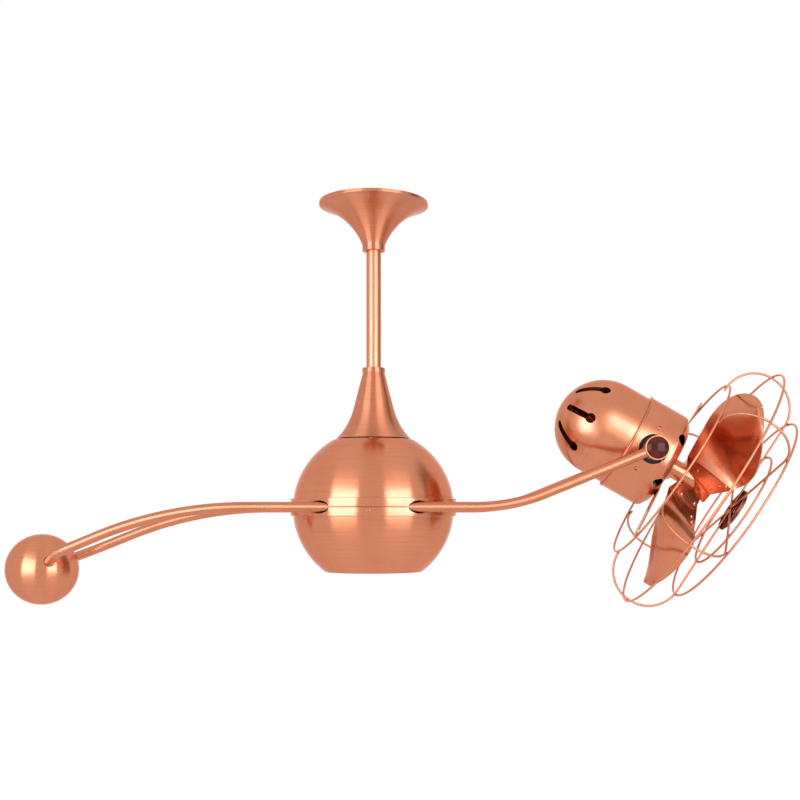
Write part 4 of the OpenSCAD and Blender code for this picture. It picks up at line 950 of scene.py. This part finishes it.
def makeRivets(b, h, k):
    grids = []
    seat, middle = k["seat"], k["middle"]
    low = -b["drop"] - b["thick"] / 2 - h["gap"]
    for angle in b["angles"]:
        where = atRoot(angle)
        for x, y, r, kind in k["places"]:
            high = -b["drop"] + b["thick"] / 2 + h["gap"] + (h["padThick"] + h["gap"] if kind == "arm" else 0)
            up = within(where, shifted((x, y, high)))
            down = within(where, inFrame(np.diag((1, -1, -1)), (x, y, low)))
            if kind == "screw":
                grids += screwHead(r, k["screwRise"], k["screwLean"], up)
            else:
                edge = math.degrees(math.atan2(k["sink"], r))
                dome = arc(0, -k["sink"], math.hypot(r, k["sink"]), 90, edge, 14)
                grids.append(revolve(np.concatenate([dome, [(r, -seat), (0, -seat)]]), up, 40))
            clinched = softened([(middle, 0, 0), (middle, k["backRise"], 0),
                                 (r - k["backIn"], k["backRise"], 0.8), (r - k["seatIn"], -seat, 0),
                                 (middle, -seat, 0)])
            grids.append(revolve(clinched, down, 40))
    addPiece("bladeRivets", grids, "rotor", "sheet", ["blade_rivets"], sharp=40.0)


for number, angle in enumerate(blade["angles"], 1):
    makeBlade(number, angle, blade)
makeHub(blade, hub)
makeRivets(blade, hub, rivets)
print("blades ready")

# cross-head screws on the motor casing and the globe's band
screws = {"motorR": 3.0, "motorRise": 1.95, "motorLean": 0.4, "motorAt": 26.8, "motorPhase": 2.0,
          "motorS": -7.0, "motorOut": 0.4, "bandR": 2.6, "bandRise": 1.7, "bandLean": 0.7, "bandAt": 120.1,
          "bandZ": -448.5, "shankR": 1.9, "shank": 5.9, "shankTop": 0.1}
# dark bars set in each screw's cross recess are painted shade
crossShadeBar = {"long": 0.60, "half": 0.16, "low": 0.22, "high": 0.62, "edge": 0.05}  # shares of the head's sizes


def screwGrids(r, rise, lean, where, k, d):  # head and shank, and dark bars at the bottom of its cross as painted shade
    head = screwHead(r, rise, lean, where)
    head.append(rod((0, 0, -k["shank"]), (0, 0, -k["shankTop"]), k["shankR"], 24, where))
    bar = np.array([(-1, -1), (1, -1), (1, 1), (-1, 1)]) * (d["long"], d["half"]) * r
    crossShade = [slab(bar @ spinAxes(turn)[:2, :2], rise * d["low"], rise * d["high"], where, d["edge"], 2)
            for turn in (lean, lean + math.pi / 2)]
    return head, crossShade


def addScrews(name, node, body, screwsOfSet):
    heads, crossShade = zip(*screwsOfSet)
    addPiece(name + "s", sum(heads, []), body, "rod", [node], sharp=50.0)
    # the cross bars take the dark weld finish as painted shade
    addPiece(name + "CrossShade", sum(crossShade, []), body, "weld")


def makeScrews(k, m):
    made = []
    for side in (-90.0, 90.0):
        for away in (-k["motorAt"], k["motorAt"]):
            out, around, ahead = spinAxes(math.radians(side + away + k["motorPhase"]))
            local = inFrame((-ahead, around, out), out * (m["casingR"] + k["motorOut"]) + ahead * k["motorS"])
            made.append(screwGrids(k["motorR"], k["motorRise"], k["motorLean"] + away,
                                   within(inHead, local), k, crossShadeBar))
    addScrews("motorScrew", "motor_screws", "head", made)
    made = []
    for _, side in ends:
        local = inFrame(((side, 0, 0), (0, 0, -1), (0, side, 0)), (0, side * k["bandAt"], k["bandZ"]))
        made.append(screwGrids(k["bandR"], k["bandRise"], k["bandLean"], local, k, crossShadeBar))
    addScrews("bandScrew", "band_screws", "turning", made)


makeScrews(screws, motor)
print("screws ready")

# guard: four rings, each a radius and a place along the axis, six bows inside them, two flat struts, a badge
guard = {"wireR": 1.6, "gap": 0.05, "rear": (144.0, 45.0), "mid": (195.7, 96.95), "front": (148.6, 153.5),
         "inner": (91.0, 153.5), "bows": 6, "phase": -1.0, "past": 5.0, "flat": 1.0, "weld": (1.5, 2.6, 1.2),
         "sides": 20, "turns": 220}
strut = {"ways": (-38.0, 142.0), "foot": 62.0, "footIn": 16.0, "wide": 16.0, "endIn": 2.0, "thick": 2.0,
         "round": 0.35, "faceZ": 38.05, "seat": 0.5, "ringRows": (-4.0, -1.0, 2.0), "outR": 148.7,
         "bend": 3.0, "bendEase": 0.01}
badge = {"z": 151.9, "thick": 7.0, "r": 33.0, "rimIn": 4.0, "rimLow": 2.5, "fieldLow": 0.6, "low": 1.2,
         "rings": ((22.5, 17.0), (14.0, 9.0)), "bossR": 6.0, "bossTopR": 4.5, "bossLow": 0.2,
         "backRings": ((7.0, 13.0), (18.0, 26.0)), "backDeep": 0.9}


def makeRings(g):
    a = np.linspace(0, 2 * np.pi, g["turns"], endpoint=False)
    for name, key in (("rear", "rear"), ("wide", "mid"), ("front", "front"), ("inner", "inner")):
        r, s = g[key]
        path = np.stack([r * np.cos(a), r * np.sin(a), s + 0 * a], -1)
        grid = sweep(path, g["wireR"], g["sides"], True, (0, 0, 1), inGuard)
        addPiece(f"{name}Ring", [grid], "head", "wire", [f"guard_{key}_ring"])


def makeBows(g):  # each bow runs out from the rear ring, forward inside the widest ring and in to the middle
    pitch = 2 * g["wireR"] + g["gap"]
    half = pitch / 2
    back, front, top = g["rear"][1] + pitch, g["front"][1] - pitch, g["mid"][0] - pitch
    bend = (front - back) / 2 - g["flat"]
    start, end = g["rear"][0] - g["past"], (g["wireR"] + g["gap"]) / math.tan(math.pi / g["bows"])
    path = pathOf([(start, 0, back), (top, 0, back), (top, 0, front), (end, 0, front)], (bend, bend), 2.5)
    crossings = [(g["rear"][0], back - half, g["weld"]), (top + half, g["mid"][1], g["weld"][::-1]),
                 (g["front"][0], front + half, g["weld"]), (g["inner"][0], front + half, g["weld"])]
    bows, welds = [], []
    for i in range(g["bows"]):
        where = within(inGuard, turnedBy(g["phase"] + i * 360 / g["bows"]))
        bows.append(sweep(path, g["wireR"], g["sides"], where=where))
        welds += [blob((r, 0, s), size, where) for r, s, size in crossings]  # a small bead at each crossing
    addPiece("guardBows", bows, "head", "wire", ["guard_bows"])
    addPiece("weldBeads", welds, "head", "weld")


def makeStruts(g, k):
    # flat bar carried outwards: its four corners are cut by the rounding, it rises from the casing's face to
    # the rear ring, and its two ends are narrower and closed to a point
    lean = math.radians(headFrame["guardLean"])
    ringR, ringS = g["rear"]
    e = k["round"]
    section = [(-1, e, 0, 0), (1, e, 0, 0), (1, 0, e, 0), (1, 0, -e, 1), (1, e, 0, 1), (-1, e, 0, 1),
               (-1, 0, -e, 1), (-1, 0, e, 0), (-1, e, 0, 0)]  # side, drawn in, raised, low or high face
    bendX = k["foot"] + k["bend"] * np.array((-1, 0, 1))
    ringX = ringR + np.array(k["ringRows"])
    x = np.r_[k["foot"] - k["footIn"], bendX, ringX, k["outR"]]
    wide = np.full(len(x), k["wide"] / 2)
    wide[[0, -1]] -= k["endIn"]
    grids = []
    for way in k["ways"]:
        over = ringS * math.cos(lean) - ringR * math.cos(math.radians(way)) * math.sin(lean)
        low = over - g["wireR"] - k["seat"] - k["thick"]
        z = np.interp(x, (k["foot"], ringX[1]), (k["faceZ"], low))
        z[2] += (low - k["faceZ"]) * k["bendEase"]
        body = np.stack([np.stack([x, side * (wide - drawn), z + up + face * k["thick"]], -1)
                         for side, drawn, up, face in section], 1)
        tips = [np.broadcast_to(body[j].mean(0), body[j].shape)[None] for j in (0, -1)]
        body = np.concatenate([tips[0], body, tips[1]])
        brush = np.stack([body[..., 0], body[..., 1] + body[..., 2]], -1) * mm
        grids.append((within(inHead, turnedBy(way))(body), brush))
    addPiece("guardStruts", grids, "head", "sheet", ["guard_struts"], sharp=30.0)


def makeBadge(k):
    # turned disc: grooves in its back, a stepped rim, two raised rings and a low boss, with no mark on it
    r, t = k["r"], k["thick"]
    rows = [(0, 0, 0)]
    for near, far in k["backRings"]:
        rows += [(near, 0, 0.3), (near, k["backDeep"], 0.3), (far, k["backDeep"], 0.3), (far, 0, 0.3)]
    shoulder, field, low = t - k["rimLow"], t - k["fieldLow"], t - k["low"]
    rows += [(r, 0, 0.5), (r, shoulder, 0.8), (r - k["rimIn"], shoulder, 0.3), (r - k["rimIn"], field, 0.6)]
    floor = field
    for far, near in k["rings"]:
        rows += [(far, floor, 0.3), (far, t, 0.4), (near, t, 0.4), (near, low, 0.3)]
        floor = low
    rows += [(k["bossR"], low, 0.3), (k["bossTopR"], t - k["bossLow"], 0.6), (0, t, 0)]
    outline = softened(rows) + (0.0, k["z"])
    addTurned("guardBadge", outline, "head", "badge", "guard_badge", 2.0, inGuard, 128)


makeRings(guard)
makeBows(guard)
makeStruts(guard, strut)
makeBadge(badge)
print("guard ready")

# the nodes that stay: bracket, pins, bearings, motors and screws
nodeFinish = {"copper": "fixing", "steel": "steel", "cast_iron": "iron", "winding": "winding",
              "bronze": "bronze", "cabochon": "gem"}
for part in frame["record"]["subparts"]:
    node = frame["nodes"][part["node"]]
    node.data.materials.clear()
    node.data.materials.append(finishes[nodeFinish[part["material_slot"]]])
print("inner parts ready")
